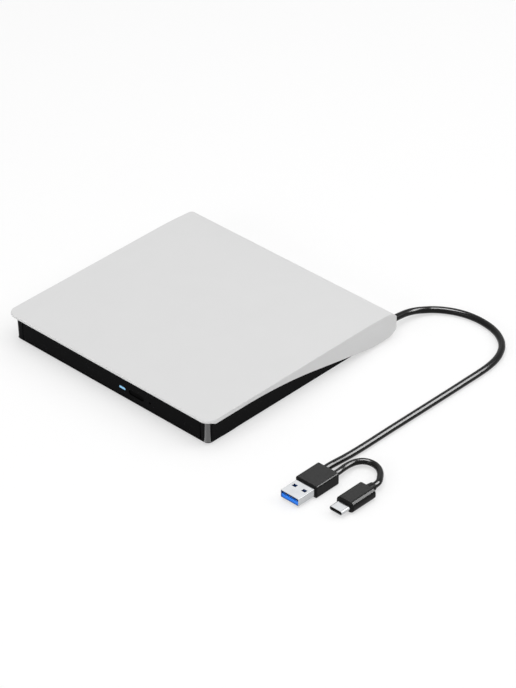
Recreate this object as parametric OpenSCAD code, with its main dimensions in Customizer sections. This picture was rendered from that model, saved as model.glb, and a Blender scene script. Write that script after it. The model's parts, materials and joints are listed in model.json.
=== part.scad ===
// External slim-tray DVD drive: wave-shaped cover, black case, 12.7 mm drive and a two-plug USB lead.
// Frame: origin on the table below the middle of the housing, front towards -Y, +Z up, millimetres.
// The tray is shown closed, the latch released and the pickup at the inner end of its travel.

/* [Cover] */
// Wall of the cover, and the thickness of its front edge
cover_wall = 1.6; // [1.2:0.1:2]
// How far the cover stands out past the case
overhang = 3; // [2:0.25:5]
// Corner radius of the cover at the front, seen from above
cover_corner = 5.8; // [3:0.2:8]
// Corner radius of the cover at the tail, seen from above
tail_corner = 1.5; // [0.5:0.25:2.5]
// Height of the cover's side edge near the front
side_edge = 2.8; // [2.2:0.1:4]
// Run over which the front edge thickens into the side edge
edge_run = 3; // [2:0.5:6]
// Radius of the round tail
nose_r = 7.3; // [7:0.1:7.5]
// Radius of the long curves in the top and in the side wave
wave_r = 300; // [280:10:340]
// Radius where the side wave runs out under the tail
wave_end_r = 60; // [40:5:80]
// Slope of the side wave, in degrees
wave_angle = 10.4; // [9.6:0.2:11.6]
// Level stretch of the side wave under the tail
tail_flat = 7.2; // [4:0.2:9]
// Falling stretch of the top, up to the middle of the tail's round
fall_run = 24.2; // [20:0.2:26]

/* [Case] */
// Height of the rubber feet
foot_h = 1; // [0.8:0.1:1.6]
// Length and width of a rubber foot
foot_len = 14; // [8:0.5:20]
foot_w = 5.6; // [5:0.1:6]
// Thickness of the case floor
case_floor = 1.4; // [1.2:0.1:2]
// Wall of the case
case_wall = 1.6; // [1.2:0.1:2]
// Corner radius of the case at the front
case_corner = 3.5; // [2:0.25:5]
// Draft of the case walls over their whole height
case_draft = 0.35; // [0.1:0.05:0.6]
// Chamfer round the bottom of the case
case_chamfer = 0.5; // [0.2:0.1:0.8]
// Room at each side between the drive and the case wall
side_room = 4.9; // [4.8:0.1:7]
// Room behind the drive, to the end of the tail
tail_room = 13.5; // [13.4:0.1:18]
// Height of the foam pads between the drive and the cover
pad_h = 0.7; // [0.6:0.1:1.5]
// Gap between the case and the cover
case_gap = 0.15; // [0.1:0.05:0.3]
// Radius of a screw post
post_r = 2.1; // [1.9:0.05:2.1]
// Radius of a case screw's thread
case_screw_r = 1; // [0.8:0.05:1.1]
// Distance of the front screws behind the cover's front edge
front_screw_run = 19.5; // [17:0.5:26]
// Distance of the rear screws in front of the tail
rear_screw_run = 25.5; // [23:0.5:32]

/* [Drive] */
// Width of the slim drive
drive_w = 128; // [127:0.5:134]
// Depth of the slim drive behind its bezel
drive_depth = 123; // [123:0.5:130]
// Height of the slim drive
drive_h = 12.7; // [12.7:0.1:15]
// Thickness of the drive's sheet steel
sheet = 0.5; // [0.4:0.05:0.6]
// Diameter of the disc that the tray takes
disc_d = 120; // [118:0.5:120]
// Clearance round the disc
disc_clear = 0.6; // [0.4:0.05:0.7]
// Gap between the tray and the drive's walls
tray_gap = 0.8; // [0.6:0.05:0.9]
// Gap under the tray pan
pan_gap = 0.5; // [0.4:0.05:0.7]
// Thickness of the tray pan
pan_t = 0.4; // [0.3:0.05:0.5]
// Height of the space for the mechanism inside the tray
mech_h = 4; // [4:0.1:4.6]
// Thickness of the tray's deck
deck_t = 1.2; // [1:0.1:1.4]
// Height of the tray's rim above the deck
rim_h = 3; // [2:0.1:3.2]
// Depth of the mechanism bay from the front of the tray
bay_len = 97; // [95:0.5:98]

/* [Front] */
// Thickness of the bezel's plate
bezel_t = 2.2; // [1.8:0.1:3]
// How far the bezel's face lies behind the case's front
bezel_recess = 0.2; // [0.1:0.05:0.6]
// Gap all round the bezel
bezel_gap = 0.4; // [0.3:0.05:0.6]
// Gap between the bezel and the front of the drive
bezel_room = 1.1; // [0.9:0.1:1.6]
// Width and height of the eject button
button_w = 10.4; // [8:0.1:12]
button_h = 2.4; // [2:0.1:3]
// Gap round the eject button
button_gap = 0.2; // [0.15:0.05:0.3]
// Travel of the eject button
button_travel = 0.6; // [0.4:0.1:0.8]
// Place of the eject button to the right of the middle
button_x = 19.4; // [16:0.1:24]
// Height of the controls above the table
control_z = 6.9; // [6.6:0.05:7]
// Width and height of the status light
light_w = 4.4; // [3:0.1:5]
light_h = 1.3; // [1:0.1:1.4]
// Place of the status light to the right of the middle
light_x = 9.1; // [6:0.1:11]
// Radius and place of the emergency eject pinhole
pinhole_r = 0.6; // [0.5:0.05:0.8]
pinhole_x = 29.1; // [28:0.1:34]

/* [Mechanism] */
// Direction of the pickup's travel, from -X towards -Y
sled_angle = 48; // [47:0.25:49]
// Distance of the lens from the spindle at rest
lens_run = 24; // [24:0.25:26]
// Travel of the pickup sled
sled_travel = 34; // [28:0.5:34]
// Radius of the guide rods and half the distance between them
rod_r = 1; // [0.8:0.05:1.1]
rod_offset = 9; // [8.8:0.05:9.2]
// Radius of the lead screw and its distance from the sled's middle
screw_r = 1; // [0.9:0.05:1.1]
screw_offset = 19; // [18.5:0.1:19.2]
// Running clearance of rods, shafts and pins in their holes
run_clear = 0.05; // [0.03:0.01:0.08]
// Radius of the disc's centring boss on the hub
hub_r = 7.4; // [7.2:0.02:7.45]
// Radius of the turntable
turntable_r = 16.5; // [15:0.1:16.6]
// Radius of the spindle motor's rotor
rotor_r = 13.8; // [12:0.1:13.9]
// Radius of the spindle shaft
shaft_r = 1; // [0.8:0.05:1.2]
// Angle that the latch lever turns to let go of its pin
latch_release = 10; // [9:0.5:11]
// Radius of the latch pin
latch_pin_r = 1.4; // [1.2:0.05:1.5]

/* [Lead] */
// Diameter of the main cord and of the branch cord
cord_d = 3.8; // [3.4:0.1:3.9]
branch_d = 3.4; // [3:0.1:3.6]
// Radius of the grommet in the tail
grommet_r = 2.7; // [2.5:0.05:2.8]
// Width, height and length of the USB-A overmould
a_body_w = 14.2; // [14:0.1:16]
a_body_h = 7; // [6.8:0.1:8]
a_body_len = 16.7; // [14:0.1:24]
// Width, height and length of the USB-A shell
a_shell_w = 12; // [11.9:0.05:12.1]
a_shell_h = 4.5; // [4.4:0.05:4.6]
a_shell_len = 11.8; // [11:0.05:12]
// Wall of the USB-A shell
a_shell_t = 0.3; // [0.25:0.05:0.4]
// Width, height and length of the USB-C overmould
c_body_w = 11.2; // [10.4:0.1:12.4]
c_body_h = 6.2; // [5.4:0.1:6.5]
c_body_len = 16.8; // [14:0.1:22]
// Width, height and length of the USB-C shell
c_shell_w = 8.3; // [8.2:0.02:8.4]
c_shell_h = 2.5; // [2.4:0.02:2.6]
c_shell_len = 6.4; // [6.2:0.05:6.7]
// Wall of the USB-C shell
c_shell_t = 0.25; // [0.2:0.05:0.3]
// Length of the tapered neck behind the USB-C overmould
c_neck_len = 4.8; // [3:0.1:8]

/* [Hidden] */
$fn = 48;

// Heights, from the table up
floor_z = foot_h + case_floor;
drive_top = floor_z + drive_h;
cover_under = drive_top + pad_h;
total_h = cover_under + cover_wall;
chassis_floor = floor_z + sheet;
pan_z = chassis_floor + pan_gap;
bay_z = pan_z + pan_t;
deck_under = bay_z + mech_h;
deck_z = deck_under + deck_t;
rim_z = deck_z + rim_h;
lid_under = drive_top - sheet;
side_low = total_h - side_edge;
case_top = cover_under - 0.2;
case_rear_top = floor_z + drive_h - 0.3;
axis_z = bay_z + 2.4;

// Widths, from the middle out
drive_x = drive_w / 2;
lid_flange = sheet - 0.05;
wall_in = drive_x - 2 * sheet;
tray_x = wall_in - tray_gap;
case_x = drive_x + side_room + case_wall;
cover_x = case_x + overhang;
case_in = drive_x + side_room - case_draft;
post_x = (drive_x + case_in) / 2;
bezel_x = drive_x + 0.5;
pad_w = 0.17 * drive_w;

// Depths, from the front back
cover_len = overhang + bezel_recess + bezel_t + bezel_room + drive_depth + tail_room;
front_y = -cover_len / 2;
tail_y = cover_len / 2;
case_y = front_y + overhang;
bezel_y = case_y + bezel_recess;
tray_y = bezel_y + bezel_t;
chassis_y = tray_y + bezel_room;
chassis_end = chassis_y + drive_depth;
tray_end = chassis_end - sheet - 0.5;
bay_end = tray_y + bay_len;
post_y = [front_y + front_screw_run, tail_y - rear_screw_run];
pad_len = 0.073 * drive_depth;

// The round tail and the side wave
nose_y = tail_y - nose_r;
fall_y = nose_y - fall_run;
fall_turn = asin(fall_run / (wave_r - nose_r));
nose_z = total_h - wave_r + (wave_r - nose_r) * cos(fall_turn);
nose_low = nose_z - nose_r;
wave_rise = side_low - nose_low;
wave_line = (wave_rise - (wave_r + wave_end_r) * (1 - cos(wave_angle))) / tan(wave_angle);
wave_out = nose_y - tail_flat;
wave_y = wave_out - (wave_r + wave_end_r) * sin(wave_angle) - wave_line;
floor_end = nose_y - 1.2;
lip_y = floor_end + 0.2;

// The tray's well and the pickup's own frame: u along its travel, v across
well_r = disc_d / 2 + disc_clear;
tray_wall = 0.9;
spindle_y = tray_y + tray_wall + well_r;
u_axis = 180 + sled_angle;
sled_in = lens_run - 8;
sled_out = lens_run + 7;
rod_end = sled_out + sled_travel + 1;
post_len = 3;
sled_half = rod_offset + 2.5;
nut_u = [sled_in, sled_in + 4];
screw_in = 8;
screw_out = nut_u[1] + sled_travel + 0.9;
motor_r = 1.5;
window_r = turntable_r + 4.5;
window_u = lens_run + 22;
slot_u = rod_end - 2;
ears = [[-25, -8], [25, 24], [48, -25]];
damper_r = 2.2;
damper_z = bay_z + 0.1;
frame_z = bay_z + 0.2;
frame_t = 0.6;
turntable_z = deck_z + 1.1;
pad_ring_h = 0.3;
claw_w = 2;
hub_top = turntable_z + 1.9;
sled_z = frame_z + frame_t + 0.4;
sled_top = axis_z + 1.2;
holder_z = sled_top + 0.6;
holder_h = 1.2;

// Rails, set off from the chassis wall
rail_z = chassis_floor + 2.3;
rail_clear = 0.3;
guide_in = wall_in - 2.8;
rail_out = wall_in - 1.4;
rail_mid = guide_in - rail_clear;
rail_in = rail_mid - 1.6;
tray_side = rail_in - 0.8;
tongue_out = rail_in + 0.6;
rail_y = [tray_y + 4, tray_end - 5];

// The latch, in the tray's right half, and its pin on the chassis
latch_pin_at = [drive_x - 14, bay_end - 7];
latch_at = [latch_pin_at[0] - 6, latch_pin_at[1] - 14];
latch_z = bay_z + 0.4;
latch_t = 1;

// The spring pusher that starts the tray on its way out
pusher_r = 1.2;
pusher_x = drive_x - 18;
pusher_z = chassis_floor + 2.4;
pusher_y = [bay_end + 0.3, chassis_end - 6];
pusher_run = pusher_y[1] - pusher_y[0];
housing_y = pusher_y[1] - 0.385 * pusher_run;

// The two boards
board_t = 1;
main_y = bay_end + 2;
main_end = chassis_end - sheet - 0.5;
main_len = main_end - main_y;
main_x = [10 - drive_x, drive_x - 23];
main_w = main_x[1] - main_x[0];
main_z = chassis_floor + 0.4;
main_hole = [main_x[0] + 0.04 * main_w, main_y + 0.125 * main_len];
plug_x = [0, 34];
plug_z = [main_z + board_t, main_z + board_t + 3];
bridge_x = [34 - drive_x, drive_x - 14];
bridge_y = [chassis_end + 1, chassis_end + 10];
bridge_w = bridge_x[1] - bridge_x[0];
bridge_len = bridge_y[1] - bridge_y[0];
bridge_z = plug_z[1] + 1.6;
bridge_post_x = [bridge_x[0] + 4, bridge_x[1] - 4];

// The lead: points on the centre line of each cord, laid on the table from where it leaves the tail
cord_x = drive_x + 3.2;
cord_z = 6;
cord_in = chassis_end + 3;
lead_at = [cord_x, tail_y, 0];
plug_a_at = lead_at + [64.8, -117.8, 3.6];
plug_c_at = lead_at + [87.8, -114.8, 3.2];
usb_points = [
  [0, 0, 6], [0, 4.5, 5.8], [0, 9.5, 5.3], [0.2, 14.5, 4.6], [1.2, 19.5, 3.8],
  [3.4, 24.5, 3], [7, 29.5, 2.4], [12.3, 33.7, 2.1], [18.8, 36.7, 2], [26.3, 38.2, 2],
  [34.3, 38.1, 2], [41.8, 36.5, 2], [48.4, 33.3, 2], [53.8, 28.7, 2], [57.6, 22.9, 2],
  [60, 16.5, 2], [61.2, 9.5, 2], [61.6, 1.5, 2], [61.6, -9.5, 2], [61.6, -21.5, 2],
  [61.5, -33.5, 2], [61.4, -45.5, 2], [61.3, -57.5, 2], [61.2, -69.5, 2], [61.2, -81.5, 2],
  [61.2, -91.5, 2.1], [61.2, -100.5, 2.5], [61.2, -108.5, 3.2], [61.2, -113.5, 3.6], [61.2, -117.8, 3.6]];
branch_points = [
  [67.7, -117.8, 3.6], [67.7, -113.5, 3.6], [67.3, -109, 3.4], [67.4, -104.5, 3.2], [68.4, -100.5, 3],
  [70.8, -97.5, 2.8], [74.4, -96.1, 2.6], [78.4, -96.7, 2.6], [82.2, -99.1, 2.8], [85.2, -102.5, 3],
  [87.4, -106.1, 3.2]];
usb_route = concat(
  [[cord_x, cord_in, cord_z], [cord_x, (cord_in + tail_y) / 2, cord_z]],
  [for (p = usb_points) lead_at + p]);
branch_route = concat(
  [for (p = branch_points) lead_at + p],
  [plug_c_at + [0, c_neck_len + 1.5, 0], plug_c_at + [0, c_neck_len, 0]]);

// Points of an arc, and of a rectangle with round corners
function arc(c, r, a0, a1, n) =
  [for (i = [0:n]) c + r * [cos(a0 + (a1 - a0) * i / n), sin(a0 + (a1 - a0) * i / n)]];
function round_box(x0, x1, y0, y1, r0, r1, n = 8) = concat(
  arc([x1 - r0, y0 + r0], r0, -90, 0, n), arc([x1 - r1, y1 - r1], r1, 0, 90, n),
  arc([x0 + r1, y1 - r1], r1, 90, 180, n), arc([x0 + r0, y0 + r0], r0, 180, 270, n));

// Rings of a tube along a path, with ref a direction that the path never takes
function unit(v) = v / norm(v);
function tangent(p, i) = unit(p[min(i + 1, len(p) - 1)] - p[max(i - 1, 0)]);
function ring(p, i, r, n, ref) =
  let (t = tangent(p, i), s = unit(cross(t, ref)), w = cross(s, t))
  [for (k = [0:n - 1]) p[i] + r * (cos(360 * k / n) * s + sin(360 * k / n) * w)];

module tube(p, r, n, ref = [0, 0, 1]) {
  last = (len(p) - 1) * n;
  points = [for (i = [0:len(p) - 1]) each ring(p, i, r, n, ref)];
  side = [for (i = [0:len(p) - 2], k = [0:n - 1])
    let (a = i * n + k, b = i * n + (k + 1) % n)
    each [[a, b, b + n], [a, b + n, a + n]]];
  caps = [for (k = [1:n - 2]) each [[0, k + 1, k], [last, last + k, last + k + 1]]];
  polyhedron(points, concat(side, caps));
}

// A block between two corners
module block(x, y, z) {
  translate([x[0], y[0], z[0]])
    cube([x[1] - x[0], y[1] - y[0], z[1] - z[0]]);
}

// A flat outline raised between two heights
module slab(z0, z1) {
  translate([0, 0, z0])
    linear_extrude(height = z1 - z0)
      children();
}

// An outline in Y and Z run along X, and one in X and Z run along Y
module along_x(x0, x1) {
  translate([x0, 0, 0])
    rotate([90, 0, 90])
      linear_extrude(height = x1 - x0)
        children();
}
module along_y(y0, y1) {
  translate([0, y1, 0])
    rotate([90, 0, 0])
      linear_extrude(height = y1 - y0)
        children();
}

// The same shape on both sides, at each corner post, or in the pickup's own frame
module both_sides() {
  children();
  mirror([1, 0, 0])
    children();
}
module at_posts() {
  for (x = [-post_x, post_x], y = post_y)
    translate([x, y, 0])
      children();
}
module traverse() {
  translate([0, spindle_y, 0])
    rotate(u_axis)
      children();
}

// A round bar along u, at height z
module bar_u(u0, u1, v, z, r) {
  translate([u0, v, z])
    rotate([0, 90, 0])
      cylinder(h = u1 - u0, r = r);
}

// Side view of the cover: flat top, falling tail, round nose, side wave and thin front edge
module cover_profile() {
  polygon(concat(
    [[front_y, cover_under], [front_y, total_h]],
    arc([fall_y, total_h - wave_r], wave_r, 90, 90 - fall_turn, 6),
    arc([nose_y, nose_z], nose_r, 90 - fall_turn, -90, 24),
    arc([wave_out, nose_low + wave_end_r], wave_end_r, -90, -90 - wave_angle, 6),
    arc([wave_y, side_low - wave_r], wave_r, 90 - wave_angle, 90, 12),
    [[front_y + 2 * edge_run, side_low], [front_y + edge_run, cover_under]]));
}

// The hollow of the cover in the same view: open at the front and under the drive
module cover_hollow() {
  r = nose_r - cover_wall;
  big = wave_r - cover_wall;
  polygon(concat(
    [[front_y - 1, cover_under]],
    arc([fall_y, total_h - wave_r], big, 90, 90 - fall_turn, 6),
    arc([nose_y, nose_z], r, 90 - fall_turn, -90, 20),
    [[lip_y, nose_z - r], [lip_y, 0], [front_y - 1, 0]]));
}

module top_cover() {
  color("#e4e4e4")
    difference() {
      union() {
        difference() {
          intersection() {
            along_x(-cover_x, cover_x)
              cover_profile();
            slab(0, total_h + 1)
              polygon(round_box(-cover_x, cover_x, front_y, tail_y, cover_corner, tail_corner));
          }
          along_x(-case_x - case_gap, case_x + case_gap)
            cover_hollow();
        }
        at_posts()
          slab(floor_z + 1.6, total_h - cover_wall / 2)
            circle(post_r);
      }
      at_posts()
        slab(floor_z, cover_under - 2)
          circle(case_screw_r - 0.15);
      translate([cord_x, 0, cord_z])
        rotate([-90, 0, 0])
          translate([0, 0, nose_y])
            cylinder(h = nose_r + 1, r = grommet_r + run_clear);
    }
}

// Outline of the case at a height where its walls are set in by inset
module case_outline(inset) {
  x = case_x - inset;
  polygon(round_box(-x, x, case_y + inset, floor_end, case_corner - inset, 1));
}

module case_shell() {
  low = case_draft + case_chamfer;
  grow_x = case_x / (case_x - case_draft);
  grow_y = case_y / (case_y + case_draft);
  edge_x = (case_x - case_draft) / (case_x - low);
  edge_y = (case_y + case_draft) / (case_y + low);
  translate([0, 0, foot_h])
    linear_extrude(height = case_chamfer, scale = [edge_x, edge_y])
      case_outline(low);
  translate([0, 0, foot_h + case_chamfer])
    linear_extrude(height = case_top - foot_h - case_chamfer, scale = [grow_x, grow_y])
      case_outline(case_draft);
}

module bottom_case() {
  color("#141415")
    difference() {
      union() {
        difference() {
          intersection() {
            case_shell();
            block([-cover_x, cover_x], [front_y, floor_end], [0, total_h]);
          }
          block([-case_in, case_in], [tray_y + 0.6, tail_y], [floor_z, total_h]);
          block([-bezel_x - bezel_gap, bezel_x + bezel_gap], [front_y, tail_y], [floor_z, total_h]);
          block([-cover_x, cover_x], [floor_end - 3, tail_y], [floor_z, total_h]);
          block([-cover_x, cover_x], [fall_y, tail_y], [case_rear_top, total_h]);
        }
        at_posts()
          slab(foot_h, floor_z + 1.6)
            circle(post_r);
        both_sides()
          for (y = [chassis_y + 28, chassis_y + 62, chassis_y + 96])
            block([drive_x + 0.2, case_in + 0.3], [y, y + 1.2], [foot_h + 0.5, floor_z + 6.6]);
        for (x = bridge_post_x)
          translate([x, chassis_end + 3, 0])
            slab(foot_h + 0.5, bridge_z)
              circle(1.9);
        for (x = [cord_x - cord_d / 2 - 1, cord_x + cord_d / 2 + 0.1])
          block([x, x + 0.9], [cord_in + 0.5, floor_end], [foot_h + 0.5, cord_z + cord_d / 2 + 0.1]);
      }
      at_posts() {
        slab(0, floor_z + 2)
          circle(case_screw_r + run_clear);
        slab(0, foot_h + 1.1)
          circle(2 * case_screw_r);
      }
      for (x = bridge_post_x)
        translate([x, chassis_end + 3, 0])
          slab(bridge_z - 4, bridge_z + 1)
            circle(0.8);
    }
}

module rubber_feet() {
  color("#232323")
    for (x = [-post_x, post_x], y = post_y)
      slab(0, foot_h)
        polygon(round_box(x - foot_w / 2, x + foot_w / 2, y - foot_len / 2, y + foot_len / 2,
          foot_w / 2 - 0.1, foot_w / 2 - 0.1));
}

module case_screws() {
  color("#8a8d91")
    at_posts() {
      slab(foot_h, foot_h + 1.1)
        circle(2 * case_screw_r - 0.1);
      slab(foot_h + 1.1, floor_z + 1.6)
        circle(case_screw_r);
      slab(floor_z + 1.6, floor_z + 6)
        circle(case_screw_r - 0.2);
    }
}

module foam_pads() {
  color("#3a3a3c")
    for (x = [-0.27, 0.27], y = [0.16, 0.68])
      translate([x * drive_w, chassis_y + y * drive_depth, drive_top])
        translate([-pad_w / 2, 0, 0])
          cube([pad_w, pad_len, pad_h]);
}

// Places of the lid's screws, and the shape of the tabs that take them
module at_lid_screws() {
  for (x = [-wall_in + 4, wall_in - 4], y = [chassis_y + 6, chassis_end - 8])
    translate([x, y, 0])
      children();
}

module drive_chassis() {
  x = drive_x - sheet;
  color("#b9bcc0")
    difference() {
      union() {
        block([-x, x], [chassis_y, chassis_end], [floor_z, chassis_floor]);
        block([-x, x], [chassis_end - sheet, chassis_end], [floor_z, lid_under]);
        both_sides()
          block([wall_in, x], [chassis_y, chassis_end], [floor_z, lid_under]);
        both_sides()
          for (y = [chassis_y + 2, chassis_end - 12])
            block([wall_in - 8, wall_in + 0.1], [y, y + 8], [lid_under - sheet, lid_under]);
        for (p = [[0.04, 0.125], [0.04, 0.83], [0.67, 0.125], [0.95, 0.63]])
          translate([main_x[0] + p[0] * main_w, main_y + p[1] * main_len, 0])
            slab(floor_z, main_z)
              circle(2.5);
      }
      block([plug_x[0] - 1, plug_x[1] + 1], [chassis_end - 2, chassis_end + 1],
        [main_z, plug_z[1] + 0.3]);
      at_lid_screws()
        slab(lid_under - 2, lid_under + 1)
          circle(0.85);
    }
}

module drive_lid() {
  color("#c4c7ca")
    difference() {
      union() {
        block([-drive_x, drive_x], [chassis_y, chassis_end], [lid_under, drive_top]);
        both_sides()
          block([drive_x - lid_flange, drive_x], [chassis_y, chassis_end], [lid_under - 2.6, lid_under]);
      }
      at_lid_screws()
        slab(lid_under - 1, drive_top + 1)
          circle(0.9);
    }
}

module lid_screws() {
  color("#77797d")
    at_lid_screws() {
      slab(drive_top, drive_top + 0.4)
        circle(1.7);
      slab(lid_under - 1.2, drive_top)
        circle(0.8);
    }
}

module rail_guides() {
  color("#e8e6df")
    both_sides()
      difference() {
        block([guide_in, wall_in], rail_y, [chassis_floor, rail_z + 2.2]);
        block([guide_in - 1, rail_out + rail_clear], [chassis_y, chassis_end],
          [rail_z - 1, rail_z + 1]);
      }
}

module rail() {
  color("#a7abb0")
    difference() {
      union() {
        block([rail_in, rail_mid], rail_y, [rail_z - 1.7, rail_z + 1.7]);
        block([rail_mid - 0.1, rail_out], rail_y, [rail_z - 0.75, rail_z + 0.75]);
      }
      block([rail_in - 1, rail_in + 0.9], [tray_y, chassis_end], [rail_z - 0.75, rail_z + 0.75]);
    }
}

module rail_right() {
  rail();
}

module rail_left() {
  mirror([1, 0, 0])
    rail();
}

// Window in the deck round the hub and the pickup, wider or narrower by grow
module deck_window(grow) {
  r = window_r + grow;
  v = rod_offset + grow;
  translate([-r, -r])
    square([window_u + window_r + 2 * grow, 2 * r]);
  translate([window_u - 6, -v])
    square([slot_u - window_u + 6 + grow, 2 * v]);
}

// Places of the screws that hold the pan to the tray
module at_pan_screws() {
  for (x = [-tray_side + 3.1, tray_side - 3.1], y = [tray_y + 6, bay_end - 3])
    translate([x, y, 0])
      children();
}

module at_ears() {
  traverse()
    for (p = ears)
      translate([p[0], p[1], 0])
        children();
}

module disc_tray() {
  wall = 1.2;
  color("#1b1b1d")
    difference() {
      union() {
        difference() {
          slab(deck_under, rim_z)
            polygon(round_box(-tray_x, tray_x, tray_y, tray_end, 0.6, 4));
          translate([0, spindle_y, 0])
            slab(deck_z, rim_z + 1)
              circle(well_r, $fn = 180);
          traverse() {
            slab(deck_z - 0.7, deck_z + 1)
              deck_window(0);
            slab(deck_under - 1, deck_z)
              deck_window(-1.5);
            slab(deck_z, rim_z + 1)
              translate([window_u + 4, -rod_offset])
                square([slot_u - window_u - 4, 2 * rod_offset]);
          }
        }
        both_sides() {
          block([tray_side - wall, tray_side], [tray_y, tray_end], [bay_z, deck_under + 0.1]);
          block([tray_side - 0.1, tongue_out], rail_y, [rail_z - 0.5, rail_z + 0.5]);
        }
        block([-tray_side, tray_side], [tray_y, tray_y + tray_wall], [pan_z, deck_under + 0.1]);
        block([-tray_side, latch_pin_at[0] - 3], [bay_end - wall, bay_end], [bay_z, deck_under + 0.1]);
        at_pan_screws()
          slab(bay_z, deck_under + 0.1)
            circle(1.6);
        at_ears()
          slab(damper_z + 1, deck_under + 0.1)
            circle(damper_r);
        translate([latch_at[0], latch_at[1], 0])
          slab(bay_z, deck_under + 0.1)
            circle(1);
      }
      at_pan_screws()
        slab(bay_z - 1, deck_under - 0.6)
          circle(0.7);
      at_ears()
        slab(bay_z, deck_under - 0.6)
          circle(0.7);
      button_pocket();
      block([light_x - light_w / 2 - 0.2, light_x + light_w / 2 + 0.2], [tray_y - 1, tray_y + 2],
        [control_z - light_h / 2 - 0.2, control_z + light_h / 2 + 0.2]);
      pinhole();
    }
}

// Room for the button's flange and stem in the front of the tray
module button_pocket() {
  w = button_w / 2 + button_gap + 0.9;
  block([button_x - w, button_x + w], [tray_y - 0.1, tray_y + 1 + button_travel],
    [control_z - button_h / 2 - 0.9, control_z + button_h / 2 + 0.9]);
}

module pinhole() {
  translate([pinhole_x, 0, control_z])
    rotate([-90, 0, 0])
      translate([0, 0, case_y - 1])
        cylinder(h = bezel_t + 4, r = pinhole_r);
}

// A slot with round ends in X and Z, about a point
module slot_outline(x, z, w, h) {
  r = h / 2 - 0.01;
  polygon(round_box(x - w / 2, x + w / 2, z - h / 2, z + h / 2, r, r));
}

module front_bezel() {
  low = floor_z + 0.3;
  high = case_top - 0.7;
  color("#18181a")
    difference() {
      union() {
        along_y(bezel_y, tray_y)
          polygon(round_box(-bezel_x, bezel_x, low, high, 1, 1));
        along_y(tray_y - 0.1, tray_y + bezel_room - 0.3)
          difference() {
            polygon(round_box(-bezel_x, bezel_x, low, high, 1, 1));
            square([2 * bezel_x - 2.4, 2 * (high - 1.2)], center = true);
          }
      }
      along_y(front_y, tray_y + 3)
        slot_outline(button_x, control_z, button_w + 2 * button_gap, button_h + 2 * button_gap);
      along_y(front_y, tray_y + 3)
        slot_outline(light_x, control_z, light_w + 0.1, light_h + 0.1);
      pinhole();
    }
}

module light_pipe() {
  color("#a6d4f2")
    along_y(bezel_y + 0.1, tray_y + 3)
      slot_outline(light_x, control_z, light_w, light_h);
}

module eject_button() {
  color("#0e0e0f")
    union() {
      along_y(bezel_y + 0.35, tray_y + 0.2)
        slot_outline(button_x, control_z, button_w, button_h);
      block([button_x - button_w / 2 - 0.6, button_x + button_w / 2 + 0.6], [tray_y + 0.1, tray_y + 0.7],
        [control_z - button_h / 2 - 0.6, control_z + button_h / 2 + 0.6]);
      block([button_x - 1.5, button_x + 1.5], [tray_y + 0.6, tray_y + 3.6],
        [control_z - 1.2, deck_under - 0.4]);
    }
}

module tray_board() {
  color("#20402c")
    block([light_x - 7, button_x + 8], [tray_y + 1.2, tray_y + 11], [bay_z, bay_z + 0.8]);
}

module eject_switch() {
  y = tray_y + 4.5 + button_travel;
  color("#2c2c30")
    union() {
      block([button_x - 3, button_x + 3], [y, y + 3], [bay_z + 0.8, deck_under - 0.3]);
      block([button_x - 1, button_x + 1], [y - 0.7, y + 0.1], [control_z - 1, deck_under - 0.6]);
    }
}

module status_light() {
  color("#f2f6e8")
    block([light_x - 1.6, light_x + 1.6], [tray_y + 3.1, tray_y + 5], [bay_z + 0.8, deck_under - 0.3]);
}

module tray_pan() {
  color("#b4b7bb")
    difference() {
      block([-tray_side, tray_side], [tray_y + tray_wall, bay_end], [pan_z, bay_z]);
      at_pan_screws()
        slab(pan_z - 1, bay_z + 1)
          circle(0.8);
      block([latch_pin_at[0] - 2.5, latch_pin_at[0] + 2.5], [latch_pin_at[1] - 2.5, bay_end + 1],
        [pan_z - 1, bay_z + 1]);
      traverse()
        slab(pan_z - 1, bay_z + 1)
          polygon(round_box(sled_in + 4, rod_end - 6, -6, 6, 3, 3));
    }
}

module pan_screws() {
  color("#77797d")
    at_pan_screws() {
      slab(pan_z - 0.25, pan_z)
        circle(1.5);
      slab(pan_z, deck_under - 1)
        circle(0.65);
    }
}

module deck_cover() {
  color("#2a2a2d")
    traverse()
      slab(deck_z - 0.7, deck_z - 0.1)
        difference() {
          deck_window(-0.2);
          circle(turntable_r + 0.8);
          polygon(round_box(window_r - 11, slot_u - 2, 1.5 - rod_offset, rod_offset - 1.5, 3, 3));
        }
}

// A post on the traverse frame with a hole along u
module rod_post(u, v, r) {
  difference() {
    block([u, u + post_len], [v - 2, v + 2], [frame_z + frame_t - 0.1, axis_z + r + 0.4]);
    bar_u(u - 1, u + post_len + 1, v, axis_z, r);
  }
}

module traverse_frame() {
  color("#9ea2a7")
    traverse()
      union() {
        difference() {
          slab(frame_z, frame_z + frame_t)
            difference() {
              union() {
                translate([-22, -12.5])
                  square([rod_end + post_len + 22, 24]);
                translate([-20, -screw_offset - 2.5])
                  square([screw_out + 22.5, screw_offset + 2.5]);
                for (p = ears) {
                  translate(p)
                    circle(3.4);
                  translate([p[0] - 3.4, min(p[1], 0)])
                    square([6.8, abs(p[1])]);
                }
              }
              for (p = ears)
                translate(p)
                  circle(damper_r);
              polygon(round_box(sled_in + 6, rod_end - 8, -5, 5, 3, 3));
              circle(shaft_r + 1.4);
            }
        }
        for (v = [-rod_offset, rod_offset], u = [sled_in - post_len - 0.5, rod_end])
          rod_post(u, v, rod_r);
        rod_post(screw_in, -screw_offset, screw_r - 0.3 + run_clear);
        rod_post(screw_out - 0.5, -screw_offset, screw_r - 0.3 + run_clear);
      }
}

module dampers() {
  color("#303032")
    at_ears()
      slab(damper_z, damper_z + 1)
        difference() {
          circle(damper_r - 0.02);
          circle(0.8);
        }
}

module traverse_screws() {
  color("#77797d")
    at_ears() {
      slab(bay_z + 0.02, damper_z)
        circle(1.6);
      slab(damper_z, deck_under - 1)
        circle(0.65);
    }
}

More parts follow.
